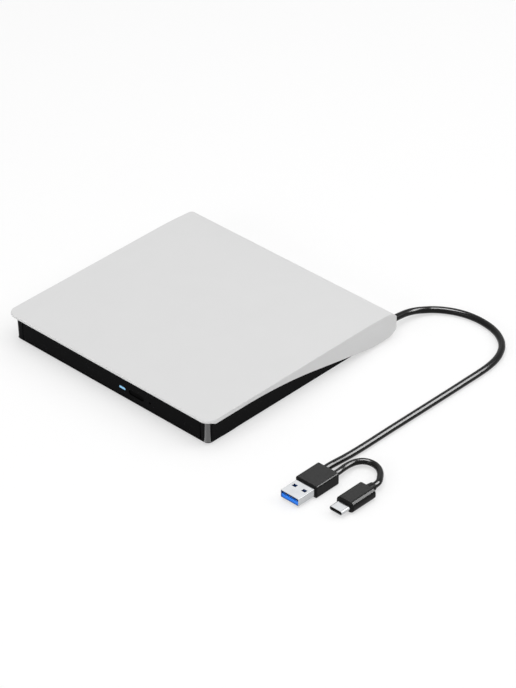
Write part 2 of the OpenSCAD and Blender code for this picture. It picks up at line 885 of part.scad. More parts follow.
// Fixed half of the spindle motor: base, bearing sleeve and a stator with nine poles
module spindle_motor() {
  base_z = frame_z + frame_t;
  color("#8f7a3f")
    translate([0, spindle_y, 0]) {
      difference() {
        union() {
          slab(base_z, base_z + 0.4)
            circle(11.5);
          slab(base_z, axis_z + 1)
            circle(3);
          slab(base_z + 0.7, axis_z + 0.5)
            difference() {
              union() {
                circle(6);
                for (i = [0:8])
                  rotate(40 * i) {
                    translate([0, -0.9])
                      square([11, 1.8]);
                    translate([10, -2.2])
                      square([1.4, 4.4]);
                  }
              }
              circle(2.5);
            }
        }
        slab(base_z - 0.1, axis_z + 2)
          circle(shaft_r + run_clear);
      }
    }
}

// Turning half: shaft, rotor cup, turntable and the boss that centres the disc
module spindle_hub() {
  cup_low = frame_z + frame_t + 0.7;
  cup_top = axis_z + 1.9;
  color("#c9c9c6")
    translate([0, spindle_y, 0])
      difference() {
        rotate_extrude()
          polygon([
            [0, frame_z + frame_t + 0.3], [shaft_r, frame_z + frame_t + 0.3], [shaft_r, axis_z + 1.4],
            [rotor_r - 0.8, axis_z + 1.4], [rotor_r - 0.8, cup_low], [rotor_r, cup_low],
            [rotor_r, cup_top], [10, cup_top], [10, deck_z - 0.4], [turntable_r, deck_z - 0.4],
            [turntable_r, turntable_z], [hub_r, turntable_z], [hub_r, hub_top - 0.6],
            [hub_r - 0.8, hub_top], [0, hub_top]]);
        for (i = [0:2])
          rotate(120 * i)
            block([hub_r - 2.6, hub_r + 1], [-claw_w / 2 - 0.2, claw_w / 2 + 0.2],
              [turntable_z + 0.2, hub_top + 1]);
      }
}

module turntable_pad() {
  color("#2b2b2b")
    translate([0, spindle_y, 0])
      slab(turntable_z, turntable_z + pad_ring_h)
        difference() {
          circle(turntable_r - 1);
          circle(turntable_r - 4);
        }
}

module chuck_claws() {
  color("#e9e7e2")
    translate([0, spindle_y, 0])
      for (i = [0:2])
        rotate(120 * i)
          rotate([90, 0, 0])
            translate([0, 0, -claw_w / 2])
              linear_extrude(height = claw_w)
                polygon([
                  [hub_r - 2.6, turntable_z + 0.2], [hub_r - 0.6, turntable_z + 0.2],
                  [hub_r - 0.1, turntable_z + 1.2], [hub_r - 0.5, hub_top - 0.3],
                  [hub_r - 2.6, hub_top - 0.1]]);
}

module guide_rods() {
  color("#d5d8db")
    traverse()
      for (v = [-rod_offset, rod_offset])
        bar_u(sled_in - post_len - 0.5, rod_end + post_len, v, axis_z, rod_r);
}

module lead_screw() {
  journal = screw_r - 0.3;
  color("#c2c5c9")
    traverse()
      union() {
        bar_u(screw_in + 0.2, screw_in + post_len + 0.4, -screw_offset, axis_z, journal);
        bar_u(screw_in + post_len + 0.3, screw_out - 0.8, -screw_offset, axis_z, screw_r);
        bar_u(screw_out - 0.9, screw_out + post_len - 0.8, -screw_offset, axis_z, journal);
      }
}

module sled_motor() {
  color("#a0a3a6")
    traverse()
      union() {
        bar_u(screw_in - 12, screw_in, -screw_offset, axis_z, motor_r);
        bar_u(screw_in - 13, screw_in - 12, -screw_offset, axis_z, 0.9);
      }
}

module pickup_sled() {
  color("#83868b")
    traverse()
      difference() {
        union() {
          block([sled_in, sled_out], [-sled_half, sled_half], [sled_z, sled_top]);
          block([lens_run - 6.4, lens_run - 4.8], [-3.5, 3.5], [sled_top - 0.1, holder_z + 0.8]);
        }
        for (v = [-rod_offset, rod_offset])
          bar_u(sled_in - 1, sled_out + 1, v, axis_z, rod_r + run_clear);
        for (v = [-sled_half, sled_half])
          block([sled_in + 4, sled_out - 4], [v - 1.2, v + 1.2], [sled_z - 1, sled_top + 1]);
      }
}

module sled_nut() {
  color("#e5e3da")
    traverse()
      difference() {
        block(nut_u, [-screw_offset - 2, -sled_half], [sled_z - 0.1, sled_top]);
        bar_u(nut_u[0] - 1, nut_u[1] + 1, -screw_offset, axis_z, screw_r + run_clear);
      }
}

module pickup_cover() {
  color("#55585c")
    traverse()
      slab(sled_top, sled_top + 0.2)
        difference() {
          translate([lens_run - 4.6, -6.8])
            square([sled_out - lens_run + 4, 13.6]);
          translate([lens_run, 0])
            circle(2.4);
        }
}

module lens_holder() {
  color("#26262a")
    traverse()
      difference() {
        slab(holder_z, holder_z + holder_h)
          polygon(round_box(lens_run - 4, lens_run + 3.2, -4.4, 4.4, 1, 1));
        translate([lens_run, 0, 0])
          slab(holder_z - 1, holder_z + holder_h + 1)
            circle(2);
      }
}

module objective_lens() {
  dome_r = 4;
  color("#9fc0e8")
    traverse()
      translate([lens_run, 0, holder_z + 0.2])
        union() {
          cylinder(h = holder_h - 0.2, r = 1.98);
          translate([0, 0, holder_h - 0.2])
            intersection() {
              translate([0, 0, -sqrt(dome_r * dome_r - 1.7 * 1.7)])
                sphere(dome_r);
              cylinder(h = 2, r = 1.98);
            }
        }
}

// Drawn holding the pin, then turned back to let it go
module latch_lever() {
  hook_y = latch_pin_at[1] - latch_at[1] + latch_pin_r + 0.3;
  color("#d8d6cf")
    translate([latch_at[0], latch_at[1], 0])
      rotate(latch_release)
        slab(latch_z, latch_z + latch_t)
          difference() {
            union() {
              circle(2.4);
              translate([-1.2, 0])
                square([2.4, hook_y + 2.4]);
              translate([0, hook_y])
                square([6.5, 2.4]);
              translate([-7, -1.2])
                square([7, 2.4]);
            }
            circle(1 + run_clear);
          }
}

module latch_solenoid() {
  x = latch_at[0] - 12;
  y = latch_at[1] - 12;
  color("#b5763c")
    union() {
      block([x, x + 9], [y, y + 2], [bay_z, deck_under - 0.3]);
      block([x + 1.5, x + 7.5], [y + 1.9, y + 7], [bay_z, deck_under - 0.3]);
    }
}

module latch_pin() {
  color("#cfd2d5")
    translate([latch_pin_at[0], latch_pin_at[1], 0]) {
      slab(chassis_floor, latch_z + latch_t + 1)
        circle(latch_pin_r);
    }
}

module pusher_housing() {
  color("#3b3b3f")
    difference() {
      block([pusher_x - 3, pusher_x + 3], [housing_y, pusher_y[1]], [chassis_floor, pusher_z + 2]);
      translate([pusher_x, housing_y - 1, pusher_z])
        rotate([-90, 0, 0])
          cylinder(h = pusher_y[1] - housing_y, r = pusher_r + run_clear);
    }
}

module eject_pusher() {
  color("#d9d7d0")
    translate([pusher_x, 0, pusher_z])
      rotate([-90, 0, 0]) {
        translate([0, 0, pusher_y[0]])
          cylinder(h = pusher_run - 2, r = pusher_r);
        translate([0, 0, pusher_y[0]])
          cylinder(h = 1.2, r = pusher_r + 0.9);
      }
}

module eject_spring() {
  turns = 6;
  y0 = pusher_y[0] + 1.5;
  y1 = housing_y - 0.3;
  coil_r = pusher_r + 0.5;
  steps = 10 * turns;
  coil = [for (i = [0:steps]) [
    pusher_x + coil_r * cos(360 * turns * i / steps),
    y0 + (y1 - y0) * i / steps,
    pusher_z + coil_r * sin(360 * turns * i / steps)]];
  color("#c8cbce")
    tube(coil, 0.22, 6, [0, 1, 0]);
}

module main_board() {
  color("#1f5a36")
    difference() {
      block(main_x, [main_y, main_end], [main_z, main_z + board_t]);
      translate([main_hole[0], main_hole[1], 0])
        slab(main_z - 1, main_z + board_t + 1)
          circle(1.2);
    }
}

// Chips on a board: middle, width and depth as shares of the board, and height
module chips(at, size, z, list) {
  for (c = list)
    translate([at[0] + c[0] * size[0], at[1] + c[1] * size[1], z])
      translate([-c[2] * size[0] / 2, -c[3] * size[1] / 2, 0])
        cube([c[2] * size[0], c[3] * size[1], c[4]]);
}

module main_chips() {
  color("#17181a")
    chips([main_x[0], main_y], [main_w, main_len], main_z + board_t, [
      [0.21, 0.42, 0.15, 0.58, 1.2], [0.44, 0.33, 0.085, 0.2, 0.9], [0.44, 0.7, 0.085, 0.2, 0.9],
      [0.065, 0.5, 0.055, 0.37, 1.4], [0.8, 0.29, 0.065, 0.25, 0.9]]);
}

module drive_connector() {
  color("#111113")
    difference() {
      block(plug_x, [chassis_end - 6, chassis_end + 0.4], plug_z);
      block([plug_x[0] + 1, plug_x[1] - 1], [chassis_end - 3, chassis_end + 1],
        [plug_z[0] + 1, plug_z[1] - 0.8]);
    }
}

// Flat ribbon from the main board, forward on the chassis floor to its fold and back under the tray
module flex_ribbon() {
  t = 0.1;
  x = [-20, 0];
  fold_y = spindle_y;
  z0 = chassis_floor + 0.05;
  z1 = pan_z - 0.05 - t;
  color("#c98a3a")
    union() {
      block(x, [fold_y, main_y - 0.2], [z0, z0 + t]);
      block(x, [fold_y, bay_end - 1], [z1, z1 + t]);
      block(x, [fold_y - t, fold_y], [z0, z1 + t]);
      block(x, [main_y - 0.2 - t, main_y - 0.2], [z0, main_z + board_t + t]);
      block(x, [main_y - 0.2 - t, main_y + main_len / 8], [main_z + board_t, main_z + board_t + t]);
    }
}

module bridge_board() {
  color("#1f5a36")
    difference() {
      block(bridge_x, bridge_y, [bridge_z, bridge_z + board_t]);
      for (x = bridge_post_x)
        translate([x, chassis_end + 3, 0])
          slab(bridge_z - 1, bridge_z + board_t + 1)
            circle(1.1);
    }
}

module bridge_socket() {
  color("#111113")
    union() {
      block([plug_x[0] - 1, plug_x[1] + 1], [chassis_end + 0.5, chassis_end + 6],
        [plug_z[0] - 0.2, bridge_z]);
      block([plug_x[0] + 1.2, plug_x[1] - 1.2], [chassis_end - 2.7, chassis_end + 0.6],
        [plug_z[0] + 1.2, plug_z[1] - 1]);
    }
}

module bridge_chips() {
  color("#17181a")
    chips([bridge_x[0], bridge_y[0]], [bridge_w, bridge_len], bridge_z + board_t, [
      [0.25, 0.5, 0.088, 0.56, 1.1], [0.42, 0.5, 0.062, 0.44, 0.9], [0.62, 0.5, 0.05, 0.33, 1.4],
      [0.79, 0.5, 0.04, 0.28, 1.2]]);
}

module bridge_screws() {
  color("#77797d")
    for (x = bridge_post_x)
      translate([x, chassis_end + 3, 0]) {
        slab(bridge_z + board_t, bridge_z + board_t + 0.8)
          circle(1.8);
        slab(bridge_z - 3.5, bridge_z + board_t)
          circle(0.75);
      }
}

// Rubber bush in the tail that the cord comes out of
module cable_grommet() {
  color("#151516")
    translate([cord_x, 0, cord_z])
      rotate([-90, 0, 0])
        difference() {
          translate([0, 0, nose_y + 2.5])
            cylinder(h = nose_r - 2.6, r = grommet_r);
          translate([0, 0, nose_y])
            cylinder(h = nose_r + 1, r = cord_d / 2 + run_clear);
        }
}

// Bar across the cord on the two ribs of the case
module cable_clamp() {
  x0 = cord_x - cord_d / 2 - 1;
  x1 = cord_x + cord_d / 2 + 1;
  color("#2a2a2c")
    block([x0, x1], [cord_in + 0.5, floor_end], [cord_z + cord_d / 2 + 0.1, cord_z + cord_d / 2 + 1.4]);
}

// Four thin wires from the end of the cord to the bridge board
module lead_wires() {
  color("#b03028")
    for (i = [0:3])
      tube([
        [cord_x, cord_in, cord_z - 1.2 + 0.8 * i],
        [cord_x, cord_in - 0.9, cord_z - 1.2 + 0.8 * i],
        [cord_x - 4, cord_in - 1.5, cord_z - 0.8 + 0.8 * i],
        [cord_x - 11, cord_in - 1 + 0.8 * i, bridge_z - 0.4 + 0.4 * i],
        [cord_x - 15.5, cord_in - 0.7 + 1.6 * i, bridge_z + board_t + 0.7],
        [cord_x - 18.5, cord_in - 0.7 + 1.6 * i, bridge_z + board_t + 0.3]], 0.3, 6);
}

module usb_cable() {
  color("#1a1a1b")
    tube(usb_route, cord_d / 2, 8);
}

module usb_c_cable() {
  color("#1a1a1b")
    tube(branch_route, branch_d / 2, 8);
}

module usb_a_plug() {
  w = a_body_w / 2;
  h = a_body_h / 2;
  color("#232325")
    translate(plug_a_at)
      difference() {
        along_y(-a_body_len, 0)
          polygon(round_box(-w, w, -h, h, 1, 1));
        along_y(-a_body_len - 1, -a_body_len + 3)
          square([a_shell_w + 0.1, a_shell_h + 0.1], center = true);
      }
}

module usb_a_shell() {
  w = a_shell_w / 2;
  h = a_shell_h / 2;
  t = a_shell_t;
  color("#d6dade")
    translate(plug_a_at)
      translate([0, -a_body_len, 0])
        difference() {
          along_y(-a_shell_len, 2.9)
            difference() {
              polygon(round_box(-w, w, -h, h, 0.45, 0.45));
              polygon(round_box(-w + t, w - t, -h + t, h - t, 0.12, 0.12));
            }
          for (x = [-3.2, 3.2])
            block([x - 1.2, x + 1.2], [-5.6, -3.6], [-h - 1, h + 1]);
        }
}

module usb_a_tongue() {
  w = a_shell_w / 2 - a_shell_t - 0.05;
  h = a_shell_h / 2 - a_shell_t - 0.05;
  color("#2f6fdc")
    translate(plug_a_at)
      translate([0, -a_body_len, 0])
        union() {
          block([-w, w], [-a_shell_len + 0.4, 2.8], [-h, -h + 1.9]);
          block([-w, w], [-2.4, 2.8], [-h + 1.8, h]);
        }
}

module usb_c_plug() {
  w = c_body_w / 2;
  h = c_body_h / 2;
  color("#232325")
    translate(plug_c_at)
      difference() {
        union() {
          along_y(-c_body_len, 0)
            polygon(round_box(-w, w, -h, h, h - 0.6, h - 0.6));
          rotate([-90, 0, 0])
            translate([0, 0, -0.1])
              cylinder(h = c_neck_len + 0.1, r1 = h - 0.3, r2 = branch_d / 2 + 0.5);
        }
        along_y(-c_body_len - 1, -c_body_len + 3)
          polygon(round_box(-c_shell_w / 2 - 0.05, c_shell_w / 2 + 0.05, -c_shell_h / 2 - 0.05,
            c_shell_h / 2 + 0.05, c_shell_h / 2, c_shell_h / 2));
      }
}

module usb_c_shell() {
  w = c_shell_w / 2;
  h = c_shell_h / 2;
  t = c_shell_t;
  color("#e2e5e8")
    translate(plug_c_at)
      translate([0, -c_body_len, 0])
        along_y(-c_shell_len, 2.9)
          difference() {
            polygon(round_box(-w, w, -h, h, h - 0.01, h - 0.01));
            polygon(round_box(-w + t, w - t, -h + t, h - t, h - t - 0.01, h - t - 0.01));
          }
}

top_cover();
bottom_case();
rubber_feet();
case_screws();
foam_pads();
drive_chassis();
drive_lid();
lid_screws();
rail_guides();
rail_left();
rail_right();
disc_tray();
front_bezel();
light_pipe();
eject_button();
tray_board();
eject_switch();
status_light();
tray_pan();
pan_screws();
deck_cover();
traverse_frame();
dampers();
traverse_screws();
spindle_motor();
spindle_hub();
turntable_pad();
chuck_claws();
guide_rods();
lead_screw();
sled_motor();
pickup_sled();
sled_nut();
pickup_cover();
lens_holder();
objective_lens();
latch_lever();
latch_solenoid();
latch_pin();
pusher_housing();
eject_pusher();
eject_spring();
main_board();
main_chips();
drive_connector();
flex_ribbon();
bridge_board();
bridge_socket();
bridge_chips();
bridge_screws();
cable_grommet();
cable_clamp();
lead_wires();
usb_cable();
usb_a_plug();
usb_a_shell();
usb_a_tongue();
usb_c_cable();
usb_c_plug();
usb_c_shell();
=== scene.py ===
# %% [markdown]
# # An external DVD drive
# This lesson dresses a small disc drive: a white wave-shaped cover on a gloss black case, a tray that slides
# out with its spindle and pickup, and a short black lead that ends in two plugs. The solids come from the
# part's own model, so the work here is in rounded edges, fine pieces, real finishes and light. Everything is
# in metres, in the part's own frame, and lengths are written in millimetres times MM.

# %% Load the solids
import bpy
import bmesh
import json
import math
from mathutils import Matrix, Vector
from mathutils.geometry import tessellate_polygon


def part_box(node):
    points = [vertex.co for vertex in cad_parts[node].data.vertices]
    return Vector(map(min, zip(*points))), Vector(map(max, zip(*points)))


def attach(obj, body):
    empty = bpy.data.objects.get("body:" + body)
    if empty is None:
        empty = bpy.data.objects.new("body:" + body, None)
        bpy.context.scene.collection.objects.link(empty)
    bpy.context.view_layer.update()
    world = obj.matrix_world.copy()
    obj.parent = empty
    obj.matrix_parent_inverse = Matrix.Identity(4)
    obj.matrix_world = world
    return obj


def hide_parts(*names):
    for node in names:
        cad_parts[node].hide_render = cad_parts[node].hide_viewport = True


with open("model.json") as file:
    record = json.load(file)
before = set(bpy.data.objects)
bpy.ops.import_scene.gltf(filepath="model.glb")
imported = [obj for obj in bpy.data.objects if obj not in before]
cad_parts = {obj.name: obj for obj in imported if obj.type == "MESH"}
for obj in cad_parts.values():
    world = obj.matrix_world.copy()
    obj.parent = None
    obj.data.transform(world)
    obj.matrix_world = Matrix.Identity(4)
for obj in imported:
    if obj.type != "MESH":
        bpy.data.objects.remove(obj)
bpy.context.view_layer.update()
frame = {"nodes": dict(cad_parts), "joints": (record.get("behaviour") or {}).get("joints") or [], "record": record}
MM = 0.001
body_of_node = {n: b for b, ns in frame["record"]["behaviour"]["bodies"].items() for n in ns}
slot_of_node = {s["node"]: s["material_slot"] for s in frame["record"]["subparts"]}

# %% [markdown]
# ## The camera
# The photograph was fitted to the housing's straight edges, which gives the camera's distance, its height and
# a long lens. A long lens keeps the far edge of the cover nearly as wide as the near one.

# %% Camera at the photograph's angle
def put(name, data):
    """A new object of this data in the scene."""
    thing = bpy.data.objects.new(name, data)
    bpy.context.scene.collection.objects.link(thing)
    return thing


VIEW_TURN, VIEW_RISE = math.radians(43.356), math.radians(34.438)
CAMERA_PLACE = Vector((1024.73, -1042.82, 998.0)) * MM
FOCAL_PIXELS, TALL_PIXELS = 3364.0, 688.0
camera_data = bpy.data.cameras.new("photo_camera")
camera_data.sensor_width = 36.0
camera_data.lens = FOCAL_PIXELS / TALL_PIXELS * camera_data.sensor_width
camera_data.clip_end = 50.0
camera = put("photo_camera", camera_data)
camera.location = CAMERA_PLACE
look = Vector((-math.sin(VIEW_TURN) * math.cos(VIEW_RISE), math.cos(VIEW_TURN) * math.cos(VIEW_RISE),
               -math.sin(VIEW_RISE)))
camera.rotation_mode = "QUATERNION"
camera.rotation_quaternion = look.to_track_quat("-Z", "Y")
bpy.context.scene.camera = camera
print("lens", round(camera_data.lens, 2), "mm")

# %% [markdown]
# ## Node groups for shared effects
# Moulded plastic has a fine grain, handled surfaces carry faint marks that only change their gloss, sheet
# metal shows the lines of the roll, turned metal shows rings, and a board shows its copper under the green.
# Each effect is built once as a group with named sockets, and each finish places it with its own numbers.

# %% Helpers that start a group and join its nodes
def start_group(name, inputs, outputs):
    """A shader group with float inputs (name, default) and float outputs, as its tree and two ends."""
    tree = bpy.data.node_groups.new(name, "ShaderNodeTree")
    for label, default in inputs:
        socket = tree.interface.new_socket(name=label, in_out="INPUT", socket_type="NodeSocketFloat")
        socket.default_value = default
    for label in outputs:
        tree.interface.new_socket(name=label, in_out="OUTPUT", socket_type="NodeSocketFloat")
    return tree, tree.nodes.new("NodeGroupInput"), tree.nodes.new("NodeGroupOutput")


def object_place(tree):
    """The surface point in the part's frame, as a texture reads it."""
    return tree.nodes.new("ShaderNodeTexCoord").outputs["Object"]


def math_node(tree, operation, *values):
    """A math node with each input a number or a socket; returns its output."""
    node = tree.nodes.new("ShaderNodeMath")
    node.operation = operation
    for socket, value in zip(node.inputs, values):
        if hasattr(value, "links"):
            tree.links.new(value, socket)
        else:
            socket.default_value = value
    return node.outputs["Value"]


# %% Fine grain of a moulding
grain, grain_in, grain_out = start_group(
    "moulded_grain", [("Scale", 3000.0), ("Cloud", 60.0)], ["Height", "Tone"])
fine = grain.nodes.new("ShaderNodeTexNoise")
fine.inputs["Detail"].default_value = 2.0
cloud = grain.nodes.new("ShaderNodeTexNoise")
cloud.inputs["Detail"].default_value = 3.0
for texture, label in ((fine, "Scale"), (cloud, "Cloud")):
    grain.links.new(object_place(grain), texture.inputs["Vector"])
    grain.links.new(grain_in.outputs[label], texture.inputs["Scale"])
grain.links.new(fine.outputs["Fac"], grain_out.inputs["Height"])
grain.links.new(cloud.outputs["Fac"], grain_out.inputs["Tone"])
print("group:", grain.name)

# %% Faint marks from handling
marks, marks_in, marks_out = start_group("handling_marks", [("Scale", 90.0), ("Amount", 0.3)], ["Gloss loss"])
stretch = marks.nodes.new("ShaderNodeMapping")
stretch.inputs["Scale"].default_value = (1.0, 0.12, 1.0)
stretch.inputs["Rotation"].default_value = (0.0, 0.0, math.radians(28))
streaks = marks.nodes.new("ShaderNodeTexNoise")
streaks.inputs["Detail"].default_value = 4.0
keep = marks.nodes.new("ShaderNodeMapRange")
keep.inputs["From Min"].default_value = 0.52
keep.inputs["From Max"].default_value = 0.8
marks.links.new(object_place(marks), stretch.inputs["Vector"])
marks.links.new(stretch.outputs["Vector"], streaks.inputs["Vector"])
marks.links.new(marks_in.outputs["Scale"], streaks.inputs["Scale"])
marks.links.new(streaks.outputs["Fac"], keep.inputs["Value"])
marks.links.new(math_node(marks, "MULTIPLY", keep.outputs["Result"], marks_in.outputs["Amount"]),
                marks_out.inputs["Gloss loss"])
print("group:", marks.name)

# %% Lines of rolled metal
rolled, rolled_in, rolled_out = start_group("rolled_lines", [("Scale", 900.0)], ["Height", "Tone"])
run = rolled.nodes.new("ShaderNodeMapping")
run.inputs["Scale"].default_value = (1.0, 0.02, 1.0)
lines = rolled.nodes.new("ShaderNodeTexNoise")
lines.inputs["Detail"].default_value = 3.0
spangle = rolled.nodes.new("ShaderNodeTexVoronoi")
spangle.inputs["Scale"].default_value = 220.0
rolled.links.new(object_place(rolled), run.inputs["Vector"])
rolled.links.new(run.outputs["Vector"], lines.inputs["Vector"])
rolled.links.new(rolled_in.outputs["Scale"], lines.inputs["Scale"])
rolled.links.new(object_place(rolled), spangle.inputs["Vector"])
rolled.links.new(lines.outputs["Fac"], rolled_out.inputs["Height"])
rolled.links.new(spangle.outputs["Distance"], rolled_out.inputs["Tone"])
print("group:", rolled.name)

# %% Rings of a part turned on a lathe, round the spindle
HUB = (0.0, -4.6)
turned_ring, ring_in, ring_out = start_group("turned_rings", [("Scale", 26000.0)], ["Height", "Tone"])
split = turned_ring.nodes.new("ShaderNodeSeparateXYZ")
turned_ring.links.new(object_place(turned_ring), split.inputs["Vector"])
across = math_node(turned_ring, "ADD", split.outputs["X"], -HUB[0] * MM)
along = math_node(turned_ring, "ADD", split.outputs["Y"], -HUB[1] * MM)
radius = math_node(turned_ring, "SQRT", math_node(
    turned_ring, "ADD", math_node(turned_ring, "MULTIPLY", across, across),
    math_node(turned_ring, "MULTIPLY", along, along)))
wave = math_node(turned_ring, "SINE", math_node(turned_ring, "MULTIPLY", radius, ring_in.outputs["Scale"]))
half = math_node(turned_ring, "MULTIPLY_ADD", wave, 0.5, 0.5)
turned_ring.links.new(half, ring_out.inputs["Height"])
turned_ring.links.new(half, ring_out.inputs["Tone"])
print("group:", turned_ring.name)

# %% Copper lines under the green of a board, or inside a flat ribbon
copper, copper_in, copper_out = start_group(
    "copper_lines", [("Scale", 700.0), ("Patch", 120.0)], ["Height", "Tone"])
place = copper.nodes.new("ShaderNodeSeparateXYZ")
copper.links.new(object_place(copper), place.inputs["Vector"])
bands = []
for axis in ("X", "Y"):
    turns = math_node(copper, "MULTIPLY", place.outputs[axis], copper_in.outputs["Scale"])
    bands.append(math_node(copper, "PINGPONG", turns, 0.5))
patch = copper.nodes.new("ShaderNodeTexVoronoi")
patch.distance = "CHEBYCHEV"
copper.links.new(object_place(copper), patch.inputs["Vector"])
copper.links.new(copper_in.outputs["Patch"], patch.inputs["Scale"])
side = math_node(copper, "GREATER_THAN", patch.outputs["Distance"], 0.34)
mixed = math_node(copper, "ADD", math_node(copper, "MULTIPLY", bands[0], side),
                  math_node(copper, "MULTIPLY", bands[1], math_node(copper, "SUBTRACT", 1.0, side)))
line = math_node(copper, "GREATER_THAN", mixed, 0.27)
copper.links.new(line, copper_out.inputs["Height"])
copper.links.new(line, copper_out.inputs["Tone"])
print("group:", copper.name)

# %% [markdown]
# ## Finishes
# Every finish is one Principled shader. A group gives its tone and its height, so the colour drifts a little
# over the surface, the roughness follows the marks, and a bump carries the grain. Numbers that are the same
# all over, such as the specular level, are set on the shader itself.

# %% A helper that builds a finish
def place_group(tree, group, **values):
    """A group placed in a material, with its inputs set by name."""
    node = tree.nodes.new("ShaderNodeGroup")
    node.node_tree = group
    for label, value in values.items():
        node.inputs[label].default_value = value
    return node


def finish(name, colour, second, rough, spread, texture="moulded_grain", scale=3000.0, depth=0.01,
           metallic=0.0, specular=0.5, coat=0.0, marked=0.25):
    """A finish between two close colours, with roughness from rough up by spread and a bump of depth mm."""
    material = bpy.data.materials.new(name)
    material.use_nodes = True
    tree = material.node_tree
    shader = tree.nodes["Principled BSDF"]
    shader.inputs["Metallic"].default_value = metallic
    shader.inputs["Specular IOR Level"].default_value = specular
    shader.inputs["Coat Weight"].default_value = coat
    shader.inputs["Coat Roughness"].default_value = 0.05
    texture_node = place_group(tree, bpy.data.node_groups[texture], Scale=scale)
    blend = tree.nodes.new("ShaderNodeMix")
    blend.data_type = "RGBA"
    blend.inputs["A"].default_value = (*colour, 1.0)
    blend.inputs["B"].default_value = (*second, 1.0)
    tree.links.new(texture_node.outputs["Tone"], blend.inputs["Factor"])
    tree.links.new(blend.outputs["Result"], shader.inputs["Base Color"])
    worn = place_group(tree, bpy.data.node_groups["handling_marks"], Scale=90.0, Amount=marked)
    gloss = tree.nodes.new("ShaderNodeMapRange")
    gloss.inputs["To Min"].default_value = rough
    gloss.inputs["To Max"].default_value = rough + spread
    tree.links.new(worn.outputs["Gloss loss"], gloss.inputs["Value"])
    tree.links.new(gloss.outputs["Result"], shader.inputs["Roughness"])
    bump = tree.nodes.new("ShaderNodeBump")
    bump.inputs["Distance"].default_value = depth * MM
    bump.inputs["Strength"].default_value = 0.6
    tree.links.new(texture_node.outputs["Height"], bump.inputs["Height"])
    tree.links.new(bump.outputs["Normal"], shader.inputs["Normal"])
    return material


print("groups to place:", [group.name for group in bpy.data.node_groups])

# %% [markdown]
# ## Plastics and rubber
# The cover is satin white, the case and the tray's front are polished black, and the cords and plugs are a
# softer black. One black for all would join them into one shape, so each has its own roughness and its own
# specular level, matched to the photograph.

# %% Plastics and rubber
finishes = {
    "white_cover": finish("satin_white", (0.67, 0.67, 0.67), (0.69, 0.69, 0.69), 0.42, 0.1, scale=5000.0,
                          depth=0.006, specular=0.15),
    "black_gloss": finish("polished_black", (0.0016, 0.0016, 0.0018), (0.0026, 0.0026, 0.0029), 0.12, 0.1,
                          scale=900.0, depth=0.002, specular=0.025),
    "bezel_black": finish("bezel_black", (0.0018, 0.0018, 0.002), (0.0028, 0.0028, 0.0031), 0.16, 0.12,
                          scale=900.0, depth=0.002, specular=0.022),
    "button_black": finish("button_black", (0.0016, 0.0016, 0.0017), (0.0026, 0.0026, 0.0028), 0.34, 0.12,
                           scale=1500.0, depth=0.004, specular=0.01),
    "black_rubber": finish("soft_rubber", (0.02, 0.02, 0.02), (0.03, 0.03, 0.03), 0.7, 0.2, depth=0.03,
                           specular=0.3),
    "ivory_plastic": finish("natural_nylon", (0.72, 0.7, 0.64), (0.78, 0.76, 0.7), 0.45, 0.15),
    "black_matt": finish("grained_black", (0.01, 0.01, 0.011), (0.018, 0.018, 0.019), 0.45, 0.15,
                         scale=2500.0, depth=0.02, specular=0.25),
    "black_cord": finish("cord_jacket", (0.005, 0.005, 0.005), (0.008, 0.008, 0.008), 0.15, 0.06,
                         scale=1800.0, depth=0.002, specular=0.12),
    "overmould": finish("plug_overmould", (0.007, 0.007, 0.007), (0.011, 0.011, 0.011), 0.2, 0.1,
                        scale=2600.0, depth=0.003, specular=0.065),
    "blue_plastic": finish("blue_insulator", (0.017, 0.2, 0.88), (0.022, 0.24, 0.95), 0.4, 0.1, specular=0.2),
    "red_wire": finish("wire_jacket", (0.4, 0.02, 0.015), (0.5, 0.04, 0.03), 0.4, 0.1),
    "amber_film": finish("amber_film", (0.42, 0.17, 0.03), (0.62, 0.34, 0.12), 0.3, 0.1,
                         texture="copper_lines", scale=1600.0, depth=0.01),
    "light_window": finish("light_window", (0.06, 0.15, 0.22), (0.08, 0.18, 0.26), 0.2, 0.1),
    "circuit_board": finish("solder_mask", (0.01, 0.1, 0.035), (0.02, 0.2, 0.075), 0.3, 0.15,
                            texture="copper_lines", depth=0.02),
}
print("plastics:", len(finishes))

# %% [markdown]
# ## Metals and glass
# Inside are coated sheet, ground rods, a casting, copper and gold, and the plugs have nickel shells. A plain
# grey would look painted, so the metals are fully metallic, and a texture shows how each was worked: rolled,
# turned or cast. The lens is a deep blue under a clear coat.

